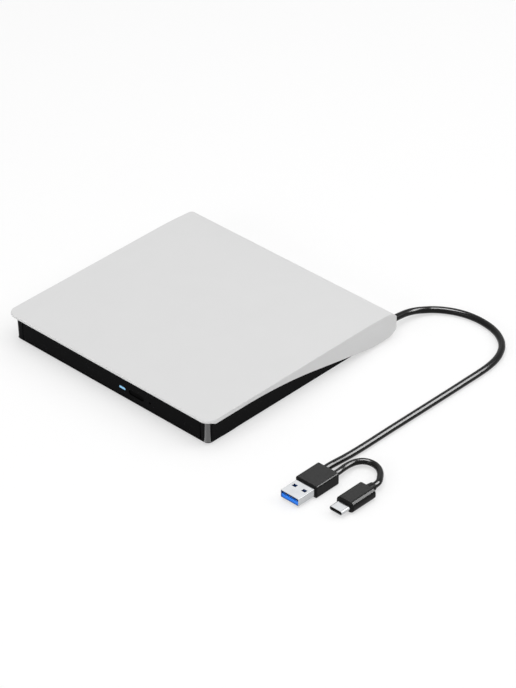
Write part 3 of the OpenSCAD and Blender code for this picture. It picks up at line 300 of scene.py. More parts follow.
# %% Metals and glass
finishes |= {
    "screw_steel": finish("plated_screw", (0.3, 0.31, 0.33), (0.4, 0.41, 0.43), 0.3, 0.2,
                          texture="rolled_lines", metallic=1.0),
    "rod_steel": finish("ground_rod", (0.46, 0.47, 0.49), (0.56, 0.57, 0.59), 0.16, 0.12,
                        texture="rolled_lines", metallic=1.0),
    "sheet_steel": finish("galvanised_sheet", (0.34, 0.35, 0.37), (0.46, 0.47, 0.49), 0.3, 0.2,
                          texture="rolled_lines", metallic=1.0, depth=0.008),
    "motor_brass": finish("copper_winding", (0.45, 0.22, 0.08), (0.62, 0.34, 0.13), 0.35, 0.15,
                          texture="rolled_lines", scale=2600.0, metallic=1.0, depth=0.03),
    "hub_metal": finish("turned_hub", (0.42, 0.42, 0.42), (0.58, 0.58, 0.58), 0.28, 0.15,
                        texture="turned_rings", metallic=1.0, depth=0.006),
    "cast_metal": finish("cast_sled", (0.28, 0.28, 0.29), (0.36, 0.36, 0.37), 0.42, 0.15, scale=1500.0,
                         metallic=1.0, depth=0.03),
    "plug_shell": finish("nickel_shell", (0.48, 0.49, 0.5), (0.54, 0.55, 0.56), 0.2, 0.12,
                         texture="rolled_lines", metallic=1.0, depth=0.003),
    "gold_contact": finish("gold_contact", (0.75, 0.52, 0.2), (0.82, 0.6, 0.28), 0.22, 0.1,
                           texture="rolled_lines", metallic=1.0, depth=0.003),
    "lens_glass": finish("coated_lens", (0.12, 0.2, 0.5), (0.2, 0.3, 0.62), 0.04, 0.05, coat=1.0),
}
print("finishes:", len(finishes))

# %% The status light glows
glow = finishes["light_window"].node_tree.nodes["Principled BSDF"]
glow.inputs["Emission Color"].default_value = (0.27, 0.6, 0.9, 1.0)
glow.inputs["Emission Strength"].default_value = 0.68
print("glowing:", finishes["light_window"].name)

# %% [markdown]
# ## The lead
# The cord leaves the tail at the right, sags to the table, turns in one loose bend and runs forward to the
# first plug; a short branch bends back to the second. Each is one smooth curve through the route's own
# points, with a round section, because a swept curve has no facets to catch the light.

# %% A round curve through points
def round_curve(name, route, diameter, body, slot, finish_name=None, node=None, sides=6, steps=8):
    """A smooth round cord or wire through a route in millimetres."""
    curve = bpy.data.curves.new(name, "CURVE")
    curve.dimensions = "3D"
    curve.bevel_depth = diameter / 2 * MM
    curve.bevel_resolution = sides
    curve.resolution_u = steps
    curve.use_fill_caps = True
    spline = curve.splines.new("BEZIER")
    spline.bezier_points.add(len(route) - 1)
    for point, place_mm in zip(spline.bezier_points, route):
        point.co = Vector(place_mm) * MM
        point.handle_left_type = point.handle_right_type = "AUTO"
    piece = put(name, curve)
    curve.materials.append(finishes[finish_name or slot])
    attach(piece, body)
    if node:
        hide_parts(node)
    return piece


# %% Routes of the two cords, in millimetres
CORD_THICK, BRANCH_THICK = 3.8, 3.4
cord_route = [
    (67.2, 61, 6), (67.2, 66.25, 6), (67.2, 71.5, 6), (67.2, 76, 5.8), (67.2, 81, 5.3), (67.4, 86, 4.6),
    (68.4, 91, 3.8), (70.6, 96, 3), (74.2, 101, 2.4), (79.5, 105.2, 2.1), (86, 108.2, 2), (93.5, 109.7, 2),
    (101.5, 109.6, 2), (109, 108, 2), (115.6, 104.8, 2), (121, 100.2, 2), (124.8, 94.4, 2), (127.2, 88, 2),
    (128.4, 81, 2), (128.8, 73, 2), (128.8, 62, 2), (128.8, 50, 2), (128.7, 38, 2), (128.6, 26, 2),
    (128.5, 14, 2), (128.4, 2, 2), (128.4, -10, 2), (128.4, -20, 2.1), (128.4, -29, 2.5), (128.4, -37, 3.2),
    (128.4, -42, 3.6), (128.4, -46.3, 3.6)]
branch_route = [
    (134.9, -46.3, 3.6), (134.9, -42, 3.6), (134.5, -37.5, 3.4), (134.6, -33, 3.2), (135.6, -29, 3),
    (138, -26, 2.8), (141.6, -24.6, 2.6), (145.6, -25.2, 2.6), (149.4, -27.6, 2.8), (152.4, -31, 3),
    (154.6, -34.6, 3.2), (155, -37, 3.2), (155, -38.5, 3.2)]
main_cord = round_curve("main_cord", cord_route, CORD_THICK, "case", "black_cord", node="usb_cable")
branch_cord = round_curve("branch_cord", branch_route, BRANCH_THICK, "case", "black_cord", node="usb_c_cable")
print("cords:", main_cord.name, branch_cord.name)

# %% [markdown]
# ## Rounded edges
# A moulded or pressed edge is never a knife edge: its small radius catches a line of light. Each solid is
# copied, its flat faces are joined again, and a bevel rounds the outer edges that are left. Inner corners
# stay sharp, because a bevel there would push into the faces beside it. The copy stands for the solid.

# %% Copy a solid and round its edges
WELD, FINE_WELD = 0.002 * MM, 0.0005 * MM
FLAT, SHARP = math.radians(0.6), math.radians(34.0)


def rounded(piece, radius, segments, method):
    """Gives a piece a bevel of a radius in millimetres, after which flat faces still shade flat."""
    bevel = piece.modifiers.new("edge radius", "BEVEL")
    bevel.width = radius * MM
    bevel.segments = segments
    bevel.limit_method = method
    piece.modifiers.new("flat faces stay flat", "WEIGHTED_NORMAL").keep_sharp = True
    return bevel


def whole(edge):
    """The share of an edge that takes the whole radius."""
    return 1.0


def dressed(node, radius, finish_name=None, segments=3, clamp=True, share=whole):
    """A copy of a solid, with its sharp outer edges rounded by their share of a radius in millimetres."""
    mesh = frame["nodes"][node].data.copy()
    mesh.name = node + "_form"
    work = bmesh.new()
    work.from_mesh(mesh)
    bmesh.ops.remove_doubles(work, verts=work.verts, dist=WELD)
    bmesh.ops.dissolve_limit(work, angle_limit=FLAT, verts=work.verts, edges=work.edges)
    weight = work.edges.layers.float.new("bevel_weight_edge")
    for edge in work.edges:
        if edge.calc_face_angle(0.0) > SHARP:
            edge[weight] = share(edge) if edge.is_convex else 0.0
            edge.smooth = edge[weight] > 0.0
    for face in work.faces:
        face.smooth = True
    work.to_mesh(mesh)
    work.free()
    piece = put(node + "_form", mesh)
    rounded(piece, radius, segments, "WEIGHT").use_clamp_overlap = clamp
    mesh.materials.clear()
    mesh.materials.append(finishes[finish_name or slot_of_node[node]])
    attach(piece, body_of_node[node])
    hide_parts(node)
    return piece


print("solids to dress:", len(frame["nodes"]))

# %% Radius of each piece's edges, in millimetres
edge_radius = {
    "top_cover": 0.45, "bottom_case": 0.2, "light_pipe": 0.1, "rubber_feet": 0.35, "cable_grommet": 0.3,
    "usb_a_shell": 0.08, "usb_a_tongue": 0.08, "usb_c_shell": 0.06,
    "disc_tray": 0.2, "deck_cover": 0.1, "drive_lid": 0.1, "drive_chassis": 0.08, "tray_pan": 0.08,
    "rail_guides": 0.15, "rail_left": 0.12, "rail_right": 0.12, "traverse_frame": 0.1, "dampers": 0.12,
    "spindle_motor": 0.08, "spindle_hub": 0.14, "turntable_pad": 0.1, "chuck_claws": 0.2, "guide_rods": 0.15,
    "sled_motor": 0.2, "sled_nut": 0.06, "pickup_cover": 0.05, "objective_lens": 0.05, "latch_lever": 0.2,
    "latch_solenoid": 0.3, "latch_pin": 0.25, "pusher_housing": 0.25, "eject_pusher": 0.2,
    "main_board": 0.06, "tray_board": 0.06, "bridge_board": 0.06, "main_chips": 0.1, "bridge_chips": 0.1,
    "drive_connector": 0.12, "bridge_socket": 0.12, "eject_switch": 0.12, "status_light": 0.25,
    "cable_clamp": 0.25, "foam_pads": 0.3,
}
print("radii from", min(edge_radius.values()), "to", max(edge_radius.values()), "mm")

# %% [markdown]
# ## Places without room for a radius
# Round the cord's hole or a pocket the edges lie close together, and a radius would fold over its neighbour.
# Boxes mark these places, and the edges inside them stay sharp or take a part of the radius. Blender can also
# hold back a whole piece for its shortest edge, so the pieces that keep their full radius are listed.

# %% Boxes in which edges stay sharp, in millimetres
def in_box(edge, low, high, slack=0.02):
    """True if both ends of an edge lie between two corners, on either side of the middle."""
    return all(least - slack <= place / MM <= most + slack for end in edge.verts
               for place, least, most in zip((abs(end.co.x), end.co.y, end.co.z), low, high))


def unless(*boxes, part=0.0):
    """A share that is a part of the radius for edges inside any of these boxes and the whole for others."""
    return lambda edge: part if any(in_box(edge, *box) for box in boxes) else 1.0


cord_hole, cord_hole_inside = ((60, 65, 0), (73, 80, 12)), ((64, 63.5, 2.5), (71, 65, 4.6))
round_tail = ((0, 69.4, 0), (75, 80, 20))
chamfer_top, rear_corner = ((0, -80, 1.5), (80, 80, 1.5)), ((67, 60, 0), (72, 64, 2.6))
front_pockets = ((5, -66.2, 2), (26, -65.1, 8.5))
edge_share = {
    "top_cover": unless(cord_hole, cord_hole_inside, round_tail),
    "bottom_case": unless(chamfer_top, rear_corner),
    "disc_tray": unless(front_pockets),
}
unheld = ("top_cover", "bottom_case", "disc_tray", "traverse_frame", "sled_nut", "bridge_board", "drive_lid")
print("pieces with sharp places:", list(edge_share), "pieces not held back:", len(unheld))

# %% Dress the solids
forms = {node: dressed(node, size, clamp=node not in unheld, share=edge_share.get(node, whole))
         for node, size in edge_radius.items()}
forms["front_bezel"] = dressed("front_bezel", 0.18, "bezel_black", clamp=False)
forms["eject_button"] = dressed("eject_button", 0.2, "button_black")
print("rounded pieces:", len(forms))

# %% Soft bodies of the plugs, sharp where the metal shell leaves them and less round at the neck
neck_root = unless(((0, -43.3, 0), (200, -43.3, 20)), part=0.25)
for plug, shell, size in (("usb_a_plug", "usb_a_shell", 0.72), ("usb_c_plug", "usb_c_shell", 0.8)):
    low, high = (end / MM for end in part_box(shell))
    mouth = unless(((low.x - 0.5, low.y, low.z - 0.5), (high.x + 0.5, high.y + 1.0, high.z + 0.5)))
    forms[plug] = dressed(plug, size, "overmould", segments=5, clamp=False,
                          share=lambda edge: min(mouth(edge), neck_root(edge)))
    print(plug, "radius:", size, "mm")

# %% Cast sled, lens holder, and finishes for the solids themselves
forms["pickup_sled"] = dressed("pickup_sled", 0.06, "cast_metal", clamp=False)
forms["lens_holder"] = dressed("lens_holder", 0.2)
for node, solid in frame["nodes"].items():
    solid.data.materials.clear()
    solid.data.materials.append(finishes[slot_of_node[node]])
print("rounded pieces:", len(forms))

# %% [markdown]
# ## How the cords lie
# A lead lies differently each time it is put down, and the route drawn here is one way for it to lie.

print("declared:", main_cord.name, "and", branch_cord.name)

# %% [markdown]
# ## Helpers for the fine pieces
# The fine pieces are small blocks, turned rings and bent bars. Each is only a list of points and one of
# faces, so many of them join into one mesh, and one bevel rounds them all.

# %% Points and faces of a block, a skin over rings and a turned form, in millimetres
def block(low, high, place=Vector):
    """A box between two corners; place turns a corner into the part's frame."""
    corners = [(x, y, z) for z in (low[2], high[2]) for y in (low[1], high[1]) for x in (low[0], high[0])]
    faces = [(0, 2, 3, 1), (4, 5, 7, 6), (0, 1, 5, 4), (2, 6, 7, 3), (0, 4, 6, 2), (1, 3, 7, 5)]
    return [place(c) for c in corners], faces


def skinned(rings, closed=(True, True)):
    """The points of equal rings, with faces from ring to ring and over the first and last if closed."""
    count, faces = len(rings[0]), []
    last = count * (len(rings) - 1)
    for first in range(0, last, count):
        for k in range(count):
            a, b = first + k, first + (k + 1) % count
            faces.append((a, b, b + count, a + count))
    faces += [tuple(range(end, end + count)) for end, shut in zip((0, last), closed) if shut]
    return [point for ring in rings for point in ring], faces


def turned(profile, place=Vector, steps=40):
    """A form turned round an axis from (height, radius) pairs; place maps (height, across, up)."""
    turns = [2 * math.pi * k / steps for k in range(steps)]
    return skinned([[place((height, r * math.cos(a), r * math.sin(a))) for a in turns]
                    for height, r in profile])


def joined(shapes):
    """Several shapes as one list of points and one of faces."""
    points, faces = [], []
    for more_points, more_faces in shapes:
        first = len(points)
        points += more_points
        faces += [tuple(first + k for k in face) for face in more_faces]
    return points, faces


print("faces of a block:", len(block((0, 0, 0), (1, 1, 1))[1]))

# %% Make a piece of a shape
def new_piece(name, shape, body, slot, finish_name=None, replaced=(), bevel=0.0, sharp=35.0):
    """A mesh piece that rides on a body, takes a slot's finish and may stand for solids."""
    mesh = bpy.data.meshes.new(name)
    mesh.from_pydata([Vector(p) * MM for p in shape[0]], [], shape[1])
    work = bmesh.new()
    work.from_mesh(mesh)
    bmesh.ops.remove_doubles(work, verts=work.verts, dist=FINE_WELD)
    bmesh.ops.recalc_face_normals(work, faces=work.faces)
    work.to_mesh(mesh)
    work.free()
    mesh.shade_smooth()
    mesh.set_sharp_from_angle(angle=math.radians(sharp))
    mesh.materials.append(finishes[finish_name or slot])
    piece = put(name, mesh)
    if bevel:
        rounded(piece, bevel, 2, "ANGLE").angle_limit = math.radians(sharp)
    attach(piece, body)
    if replaced:
        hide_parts(*replaced)
    return piece


# %% Places that turn with the slanted traverse, whose u runs out from the spindle
TRAVERSE = math.radians(228)
U_WAY = (math.cos(TRAVERSE), math.sin(TRAVERSE))


def traverse(at):
    """A point (u, v, z) of the traverse in the part's frame."""
    u, v, z = at
    return Vector((HUB[0] + u * U_WAY[0] - v * U_WAY[1], HUB[1] + u * U_WAY[1] + v * U_WAY[0], z))


def about(x, y):
    """A place function for a form turned round an upright axis."""
    return lambda p: Vector((x + p[1], y + p[2], p[0]))


print("traverse runs along", [round(way, 3) for way in U_WAY])

# %% [markdown]
# ## Screws
# Small drives are held by pan-head screws with a cross recess. A plain disc would show no recess, so the head
# is turned, and its flat face is filled round a cross whose tapered walls go down into it.

# %% One cross-head screw
CROSS = [(3, -1), (3, 1), (1, 1), (1, 3), (-1, 3), (-1, 1),
         (-3, 1), (-3, -1), (-1, -1), (-1, -3), (1, -3), (1, -1)]


def cross_screw(at, face_z, seat_z, tip_z, head_r, shank_r, steps=24):
    """A screw whose head lies between face_z and seat_z, in millimetres; it may point up or down."""
    x, y = at
    drop = seat_z - face_z
    point = (tip_z - seat_z) * 0.12
    profile = [(tip_z, shank_r * 0.4), (tip_z - point, shank_r), (seat_z, shank_r), (seat_z, head_r),
               (face_z + drop * 0.35, head_r), (face_z, head_r * 0.86)]
    points, faces = turned(profile, about(x, y), steps)
    faces.pop()
    rim, first, count = points[-steps:], len(points), len(CROSS)
    arm = head_r * 0.2
    for scale, z in ((1.0, face_z), (0.7, face_z + drop * 0.7)):
        points += [Vector((x + arm * scale * a, y + arm * scale * b, z)) for a, b in CROSS]
    flat = tessellate_polygon([rim, points[first:first + count]])
    faces += [tuple(first - steps + k for k in corner) for corner in flat]
    for k in range(count):
        a, b = first + k, first + (k + 1) % count
        faces.append((a, b, b + count, a + count))
    faces.append(tuple(range(first + count, first + 2 * count)))
    return points, faces


print("corners of the cross:", len(CROSS))


# %% The five sets: places, z of face, seat and tip, radius of head and shank
def on_both_sides(x, *rows):
    """Places at each y of the rows, on both sides of the middle."""
    return [(side * x, y) for side in (-1, 1) for y in rows]


screw_sets = {
    "case_screws": (on_both_sides(66.275, -52, 46), 1.0, 2.1, 8.4, 1.9, 0.9),
    "lid_screws": (on_both_sides(59, -59, 50), 15.5, 15.1, 13.4, 1.7, 0.8),
    "pan_screws": (on_both_sides(54.4, -60.1, 27.9), 3.15, 3.4, 6.8, 1.5, 0.65),
    "traverse_screws": ([traverse((u, v, 0))[:2] for u, v in ((-25, -8), (25, 24), (48, -25))],
                        3.82, 3.9, 6.8, 1.6, 0.65),
    "bridge_screws": ([(-26, 61), (46, 61)], 10.7, 9.9, 5.4, 1.8, 0.75),
}
for node, (places, *sizes) in screw_sets.items():
    shape = joined([cross_screw(at, *sizes) for at in places])
    new_piece(node + "_cross", shape, body_of_node[node], "screw_steel", replaced=[node], bevel=0.05)
print("screws:", sum(len(places) for places, *sizes in screw_sets.values()))

# %% [markdown]
# ## Lead screw and spring
# The pickup is driven by a coarse thread with a round flank. It is a turned core with a wire swept along the
# thread's own line. The eject spring is one wire on a longer pitch, so the same curve makes both.

# %% Core and left-handed thread of the lead screw, one turn in 3 mm
SCREW_V, SCREW_Z, PITCH = -19.0, 6.2, 3.0
THREAD_START, THREAD_END, THREAD_R, THREAD_POINTS = 11.8, 53.6, 0.86, 200


def screw_place(at):
    """A point (along, across, up) about the lead screw's axis in the part's frame."""
    return traverse((at[0], SCREW_V + at[1], SCREW_Z + at[2]))


core = [(8.2, 0.55), (8.35, 0.7), (11.3, 0.7), (11.3, 0.84),
        (54.1, 0.84), (54.1, 0.7), (56.95, 0.7), (57.1, 0.55)]
new_piece("lead_screw_core", turned(core, screw_place, 24), "feed_screw", "rod_steel",
          replaced=["lead_screw"])
turns = (THREAD_END - THREAD_START) / PITCH
thread = []
for k in range(THREAD_POINTS + 1):
    turn = -2 * math.pi * turns * k / THREAD_POINTS
    thread.append(screw_place((THREAD_START + PITCH * turns * k / THREAD_POINTS,
                               THREAD_R * math.cos(turn), THREAD_R * math.sin(turn))))
round_curve("lead_screw_thread", thread, 0.27, "feed_screw", "rod_steel", sides=2, steps=3)
print("thread turns:", round(turns, 1))

# %% The eject spring
SPRING_X, SPRING_Z, SPRING_R = 46, 5.3, 1.7
SPRING_START, SPRING_END, COIL_TURNS, TURN_POINTS = 32.7, 43.69, 6, 16
coil_points = COIL_TURNS * TURN_POINTS
coil = []
for k in range(coil_points + 1):
    turn = 2 * math.pi * k / TURN_POINTS
    coil.append((SPRING_X + SPRING_R * math.cos(turn),
                 SPRING_START + (SPRING_END - SPRING_START) * k / coil_points,
                 SPRING_Z + SPRING_R * math.sin(turn)))
round_curve("eject_spring_coil", coil, 0.44, body_of_node["eject_spring"], "rod_steel",
            node="eject_spring", sides=2, steps=3)
print("spring turns:", COIL_TURNS)

# %% [markdown]
# ## Spindle and pickup
# Under the turntable nine coils sit on the stator's poles. Round the lens sit a dark rim, two magnets and the
# amber flex that feeds the lens coils. They are small, but with the tray open the pickup is in plain sight.

# %% Coils on the stator
COILS = 9


def pole(turn):
    """A place function for a pole at a turn round the spindle."""
    c, s = math.cos(turn), math.sin(turn)
    return lambda p: Vector((HUB[0] + p[0] * c - p[1] * s, HUB[1] + p[0] * s + p[1] * c, p[2]))


coils = joined([block((6.5, -1.5, 5.0), (9.7, 1.5, 7.0), pole(math.radians(360 / COILS * k)))
                for k in range(COILS)])
new_piece("stator_coils", coils, "tray", "motor_brass", bevel=0.45)
print("coils:", COILS)

# %% A cap ring on the hub
cap_ring = [(11.98, 3.1), (12.06, 3.2), (12.06, 4.4), (11.98, 4.5)]
hub_ring = new_piece("hub_cap_ring", turned(cap_ring, about(*HUB), 48), "spindle", "hub_metal")
print("made:", hub_ring.name)

# %% Rim, magnets, springs and flex of the pickup
LENS_U = 24.0


def lens_place(at):
    """A point (up, along u, along v) about the lens's axis in the part's frame."""
    return traverse((LENS_U + at[1], at[2], at[0]))


rim = turned([(9.18, 2.05), (9.34, 2.1), (9.34, 2.5), (9.18, 2.62)], lens_place, 40)
magnets = joined([block((LENS_U - 3, v, 7.58), (LENS_U + 2.4, v + 1.3, 8.7), traverse) for v in (-6.2, 4.9)])
springs = joined([block((LENS_U - 5.2, v - 0.12, 8.5), (LENS_U - 3.9, v + 0.12, 8.58), traverse)
                  for v in (-3.2, 3.2)])
flex = joined([block((26.9, -5.6, 7.6), (30.4, 5.6, 7.68), traverse),
               block((28.2, -2.6, 7.66), (29.8, 0.4, 7.75), traverse)])
pickup = [new_piece("lens_rim", rim, "lens", "black_matt"),
          new_piece("lens_magnets", magnets, "sled", "rod_steel", bevel=0.12),
          new_piece("lens_springs", springs, "sled", "motor_brass"),
          new_piece("pickup_flex", flex, "sled", "amber_film", bevel=0.03)]
print("pickup pieces:", [piece.name for piece in pickup])

# %% [markdown]
# ## Film under the pickup
# The pan has an opening below the pickup's way, and a thin black film in it keeps dust out. A plain rectangle
# would leave its round corners open, so the film's outline has the same corners.

# %% A thin plate with round corners, lying in the pan's opening
sled_run = max(next(j for j in frame["joints"] if j["name"] == "sled_slide")["range_m"]) / MM
film_low, film_high, film_round = (20.02, -5.98), (25.98 + sled_run, 5.98), 2.98
film_under, film_top, film_points = 3.46, 3.56, 36
outline = []
for k in range(film_points):
    turn = math.radians(360 / film_points * (k + 0.5))
    outline.append([(low + film_round if c < 0 else high - film_round) + film_round * c
                    for low, high, c in zip(film_low, film_high, (math.cos(turn), math.sin(turn)))])
film = skinned([[traverse((*at, z)) for at in outline] for z in (film_under, film_top)])
new_piece("pan_film", film, "tray", "black_matt")
print("film length:", round(film_high[0] - film_low[0], 2), "mm")

# %% [markdown]
# ## Ribs on the tray's floor
# A tray has a thin round rib that centres small discs, and short ribs near the rim that keep a large disc
# off the floor. Each is a bar bent round the spindle, and the round rib stops where the floor opens for the
# pickup.

# %% Bent bars round the spindle
def bent_bar(inner, outer, low, high, start, end, steps=96):
    """A bar between two radii and two heights, in millimetres, from one angle to another in degrees."""
    section = ((inner, low), (outer, low), (outer, high), (inner, high))
    rings = []
    for k in range(steps + 1):
        a = math.radians(start + (end - start) * k / steps)
        rings.append([(HUB[0] + r * math.cos(a), HUB[1] + r * math.sin(a), z) for r, z in section])
    return skinned(rings)


tray_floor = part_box("deck_cover")[1].z / MM + 0.1
rib_root = tray_floor - 0.02
small_disc_rib = bent_bar(40.3, 41.1, rib_root, tray_floor + 0.28, 264, 552)
rest_ribs = joined([bent_bar(56.8, 58.6, rib_root, tray_floor + 0.16, start, start + 26, 24)
                    for start in (17, 137, 287)])
new_piece("small_disc_rib", small_disc_rib, "tray", slot_of_node["disc_tray"], bevel=0.12)
new_piece("disc_rest_ribs", rest_ribs, "tray", slot_of_node["disc_tray"], bevel=0.07)
print("tray floor at", round(tray_floor, 2), "mm")

# %% [markdown]
# ## Boards
# A board is never bare: chips stand on bent legs, and rows of small parts sit between them. The legs follow
# each chip's own box, so they are right wherever the chip stands. The small parts go where nothing else is.

# %% The boxes of the separate solids in a node
def solids_in(node):
    """The corners of each separate solid in a node, in millimetres."""
    work = bmesh.new()
    work.from_mesh(frame["nodes"][node].data)
    bmesh.ops.remove_doubles(work, verts=work.verts, dist=FINE_WELD)
    left, boxes = set(work.verts), []
    while left:
        stack, group = [left.pop()], []
        while stack:
            corner = stack.pop()
            group.append(corner.co / MM)
            for edge in corner.link_edges:
                other = edge.other_vert(corner)
                if other in left:
                    left.remove(other)
                    stack.append(other)
        boxes.append([[pick(c[k] for c in group) for k in range(3)] for pick in (min, max)])
    work.free()
    return sorted(boxes)


print("main chips:", len(solids_in("main_chips")))


# %% Bent legs along a chip's sides
def chip_legs(low, high, pitch=0.8, half=0.17):
    """Shoulder, drop and foot of each leg, on the two sides that face along Y."""
    legs, mid = [], (low[2] + high[2]) / 2
    shoulder, drop = (-0.1, 0.34, mid - 0.06, mid + 0.06), (0.24, 0.36, low[2] + 0.04, mid)
    foot = (0.24, 0.8, low[2], low[2] + 0.1)
    count = int((high[0] - low[0] - 0.8) / pitch)
    start = (low[0] + high[0]) / 2 - pitch * count / 2
    for k in range(count + 1):
        x = start + pitch * k
        for y, way in ((low[1], -1), (high[1], 1)):
            for near, far, bottom, top in (shoulder, drop, foot):
                ends = sorted((y + way * near, y + way * far))
                legs.append(block((x - half, ends[0], bottom), (x + half, ends[1], top)))
    return legs


for node in ("main_chips", "bridge_chips"):
    legs = [leg for low, high in solids_in(node) for leg in chip_legs(low, high)]
    new_piece(node + "_legs", joined(legs), body_of_node[node], "screw_steel")
    print(node, "legs:", len(legs) // 3)


# %% Small parts in rows where the board is free
def near_any(x, y, boxes, room=1.4):
    """True if a place on a board lies in a box or within room of it, in millimetres."""
    return any(low[0] - room < x < high[0] + room and low[1] - room < y < high[1] + room
               for low, high in boxes)


def small_parts(board, blocked, step=2.4, skip=3):
    """Bodies and end caps of small parts on a board's top, clear of the blocked boxes."""
    low, high = solids_in(board)[0]
    top, sunk = high[2], high[2] - 0.02
    bodies, caps = [], []
    across, along = int((high[0] - low[0] - 3) / step), int((high[1] - low[1] - 2) / step)
    for i in range(across + 1):
        for j in range(along + 1):
            x, y = low[0] + 1.5 + step * i, low[1] + 1.0 + step * j
            if near_any(x, y, blocked) or (i * 7 + j * 5) % skip:
                continue
            tall = 0.35 + 0.1 * ((i + j) % 3)
            bodies.append(block((x - 0.5, y - 0.4, sunk), (x + 0.5, y + 0.4, top + tall)))
            for end in (x - 0.8, x + 0.5):
                caps.append(block((end, y - 0.42, sunk), (end + 0.3, y + 0.42, top + tall + 0.02)))
    return joined(bodies), joined(caps)


# %% Small parts on the two boards
wire_ends = [[[46.5, 59.4, 0], [52, 66, 0]]]
ribbon_end = [[[-21, 32, 0], [1, 37, 0]]]
crowded = {
    "main_board": (solids_in("main_chips") + solids_in("drive_connector") + solids_in("pusher_housing")
                   + ribbon_end),
    "bridge_board": solids_in("bridge_chips") + solids_in("bridge_screws") + wire_ends,
}
for board, blocked in crowded.items():
    bodies, caps = small_parts(board, blocked)
    new_piece(board + "_small_parts", bodies, "case", "ivory_plastic", bevel=0.06)
    new_piece(board + "_part_ends", caps, "case", "screw_steel", bevel=0.04)
    print(board, "small parts:", len(bodies[0]) // 8)

# %% [markdown]
# ## Ribbon and lead wires
# The flat ribbon folds under the tray, rounds the fold and climbs onto the main board. It is a thin strip
# swept along that line with a round bend. The four wires of the lead each have their own colour, as in any
# such lead.

# %% The folded ribbon, as a line of (y, z) from under the tray to the main board
def strip(line, x0, x1, thick):
    """A flat strip between x0 and x1 that follows a (y, z) line."""
    rings = []
    for k, (y, z) in enumerate(line):
        before, after = line[max(k - 1, 0)], line[min(k + 1, len(line) - 1)]
        way = Vector((after[0] - before[0], after[1] - before[1])).normalized() * thick / 2
        rings.append([(x, y - s * way.y, z + s * way.x) for x, s in ((x0, 1), (x1, 1), (x1, -1), (x0, -1))])
    return skinned(rings)


under_tray = [(29.9, 3.3), (20, 3.3), (8, 3.3), (-4.6, 3.3)]
fold = [(-4.6 - 0.1 * math.sin(a), 3.15 + 0.15 * math.cos(a)) for a in (0.6, 1.2, 1.9, 2.5)]
on_chassis = [(-4.6, 3.0), (8, 3.0), (20, 3.0), (32.3, 3.0), (32.6, 3.12)]
onto_board = [(32.65, 3.4), (32.65, 4.0), (32.7, 4.26), (32.95, 4.36), (34, 4.36), (35.9, 4.36)]
ribbon_line = under_tray + fold + on_chassis + onto_board
new_piece("flex_ribbon_strip", strip(ribbon_line, -20, 0, 0.1), "case", "amber_film",
          replaced=["flex_ribbon"])
print("ribbon points:", len(ribbon_line))

# %% Four coloured wires
wire_colours = {"red": (0.42, 0.02, 0.015), "white": (0.72, 0.72, 0.7), "green": (0.02, 0.22, 0.05),
                "black": (0.012, 0.012, 0.012)}
for k, (name, colour) in enumerate(wire_colours.items()):
    finishes["wire_" + name] = finish("wire_" + name, colour, tuple(c * 1.2 for c in colour), 0.4, 0.1)
    route = [(67.2, 61, 4.8 + 0.8 * k), (67.2, 60.1, 4.8 + 0.8 * k), (63.2, 59.5, 5.2 + 0.8 * k),
             (56.2, 60 + 0.8 * k, 8.5 + 0.4 * k), (51.7, 60.3 + 1.6 * k, 10.6), (48.7, 60.3 + 1.6 * k, 10.2)]
    round_curve("lead_wire_" + name, route, 0.6, "case", "red_wire", "wire_" + name,
                node="lead_wires", sides=3)
print("wires:", list(wire_colours))

# %% [markdown]
# ## Inside the plugs
# The wide plug shows its blue insulator with four long gold contacts and, behind them, five short ones. The
# small plug has a dark liner whose two rows of springs face each other. Both are only seen at the mouth.

# %% Contacts of the wide plug
WIDE_PLUG_X, INSULATOR_Z = 132.0, 3.56


def contact_row(places, half, front, back, top):
    """Flat contacts on the insulator, at places either side of the plug's middle."""
    return [block((WIDE_PLUG_X + x - half, front, INSULATOR_Z), (WIDE_PLUG_X + x + half, back, top))
            for x in places]


contacts = contact_row((-3.5, -1.0, 1.0, 3.5), 0.5, -73.6, -66.0, 3.66)
contacts += contact_row((-4.4, -2.3, 0.0, 2.3, 4.4), 0.3, -69.0, -65.6, 3.9)
new_piece("usb_a_contacts", joined(contacts), "case", "plug_shell", "gold_contact", bevel=0.04)
print("contacts:", len(contacts))

# %% Liner of the small plug
SMALL_PLUG_X, SMALL_PLUG_Z = 155.0, 3.2


def rounded_ring(half_w, half_h, y, steps=10):
    """Points of a stadium outline at a depth y, round the small plug's axis."""
    ring = []
    for side in (1, -1):
        for k in range(steps + 1):
            a = math.pi * k / steps - math.pi / 2
            ring.append((SMALL_PLUG_X + side * (half_w - half_h + half_h * math.cos(a)), y,
                         SMALL_PLUG_Z + side * half_h * math.sin(a)))
    return ring


liner = skinned([rounded_ring(3.88, 0.98, -66.2), rounded_ring(3.5, 0.62, -66.15),
                 rounded_ring(3.4, 0.5, -61.5)], closed=(False, True))
new_piece("usb_c_liner", liner, "case", "black_matt")
print("liner points:", len(liner[0]))

# %% Two rows of springs in the liner
plug_springs = []
for k in range(12):
    x = SMALL_PLUG_X - 2.75 + 0.5 * k
    for z in (SMALL_PLUG_Z - 0.52, SMALL_PLUG_Z + 0.42):
        plug_springs.append(block((x - 0.12, -65.4, z), (x + 0.12, -62.0, z + 0.1)))
new_piece("usb_c_springs", joined(plug_springs), "case", "plug_shell", "gold_contact")
print("plug springs:", len(plug_springs))

# %% [markdown]
# ## Floor and world
# The photograph has a pure white ground. The floor is a large pale sheet, and a sheet lit by lamps alone
# would come out grey, so it also glows for the eye. The world is white to the eye and to reflections, but
# weaker as a light, which leaves the lamps to shape the drive.

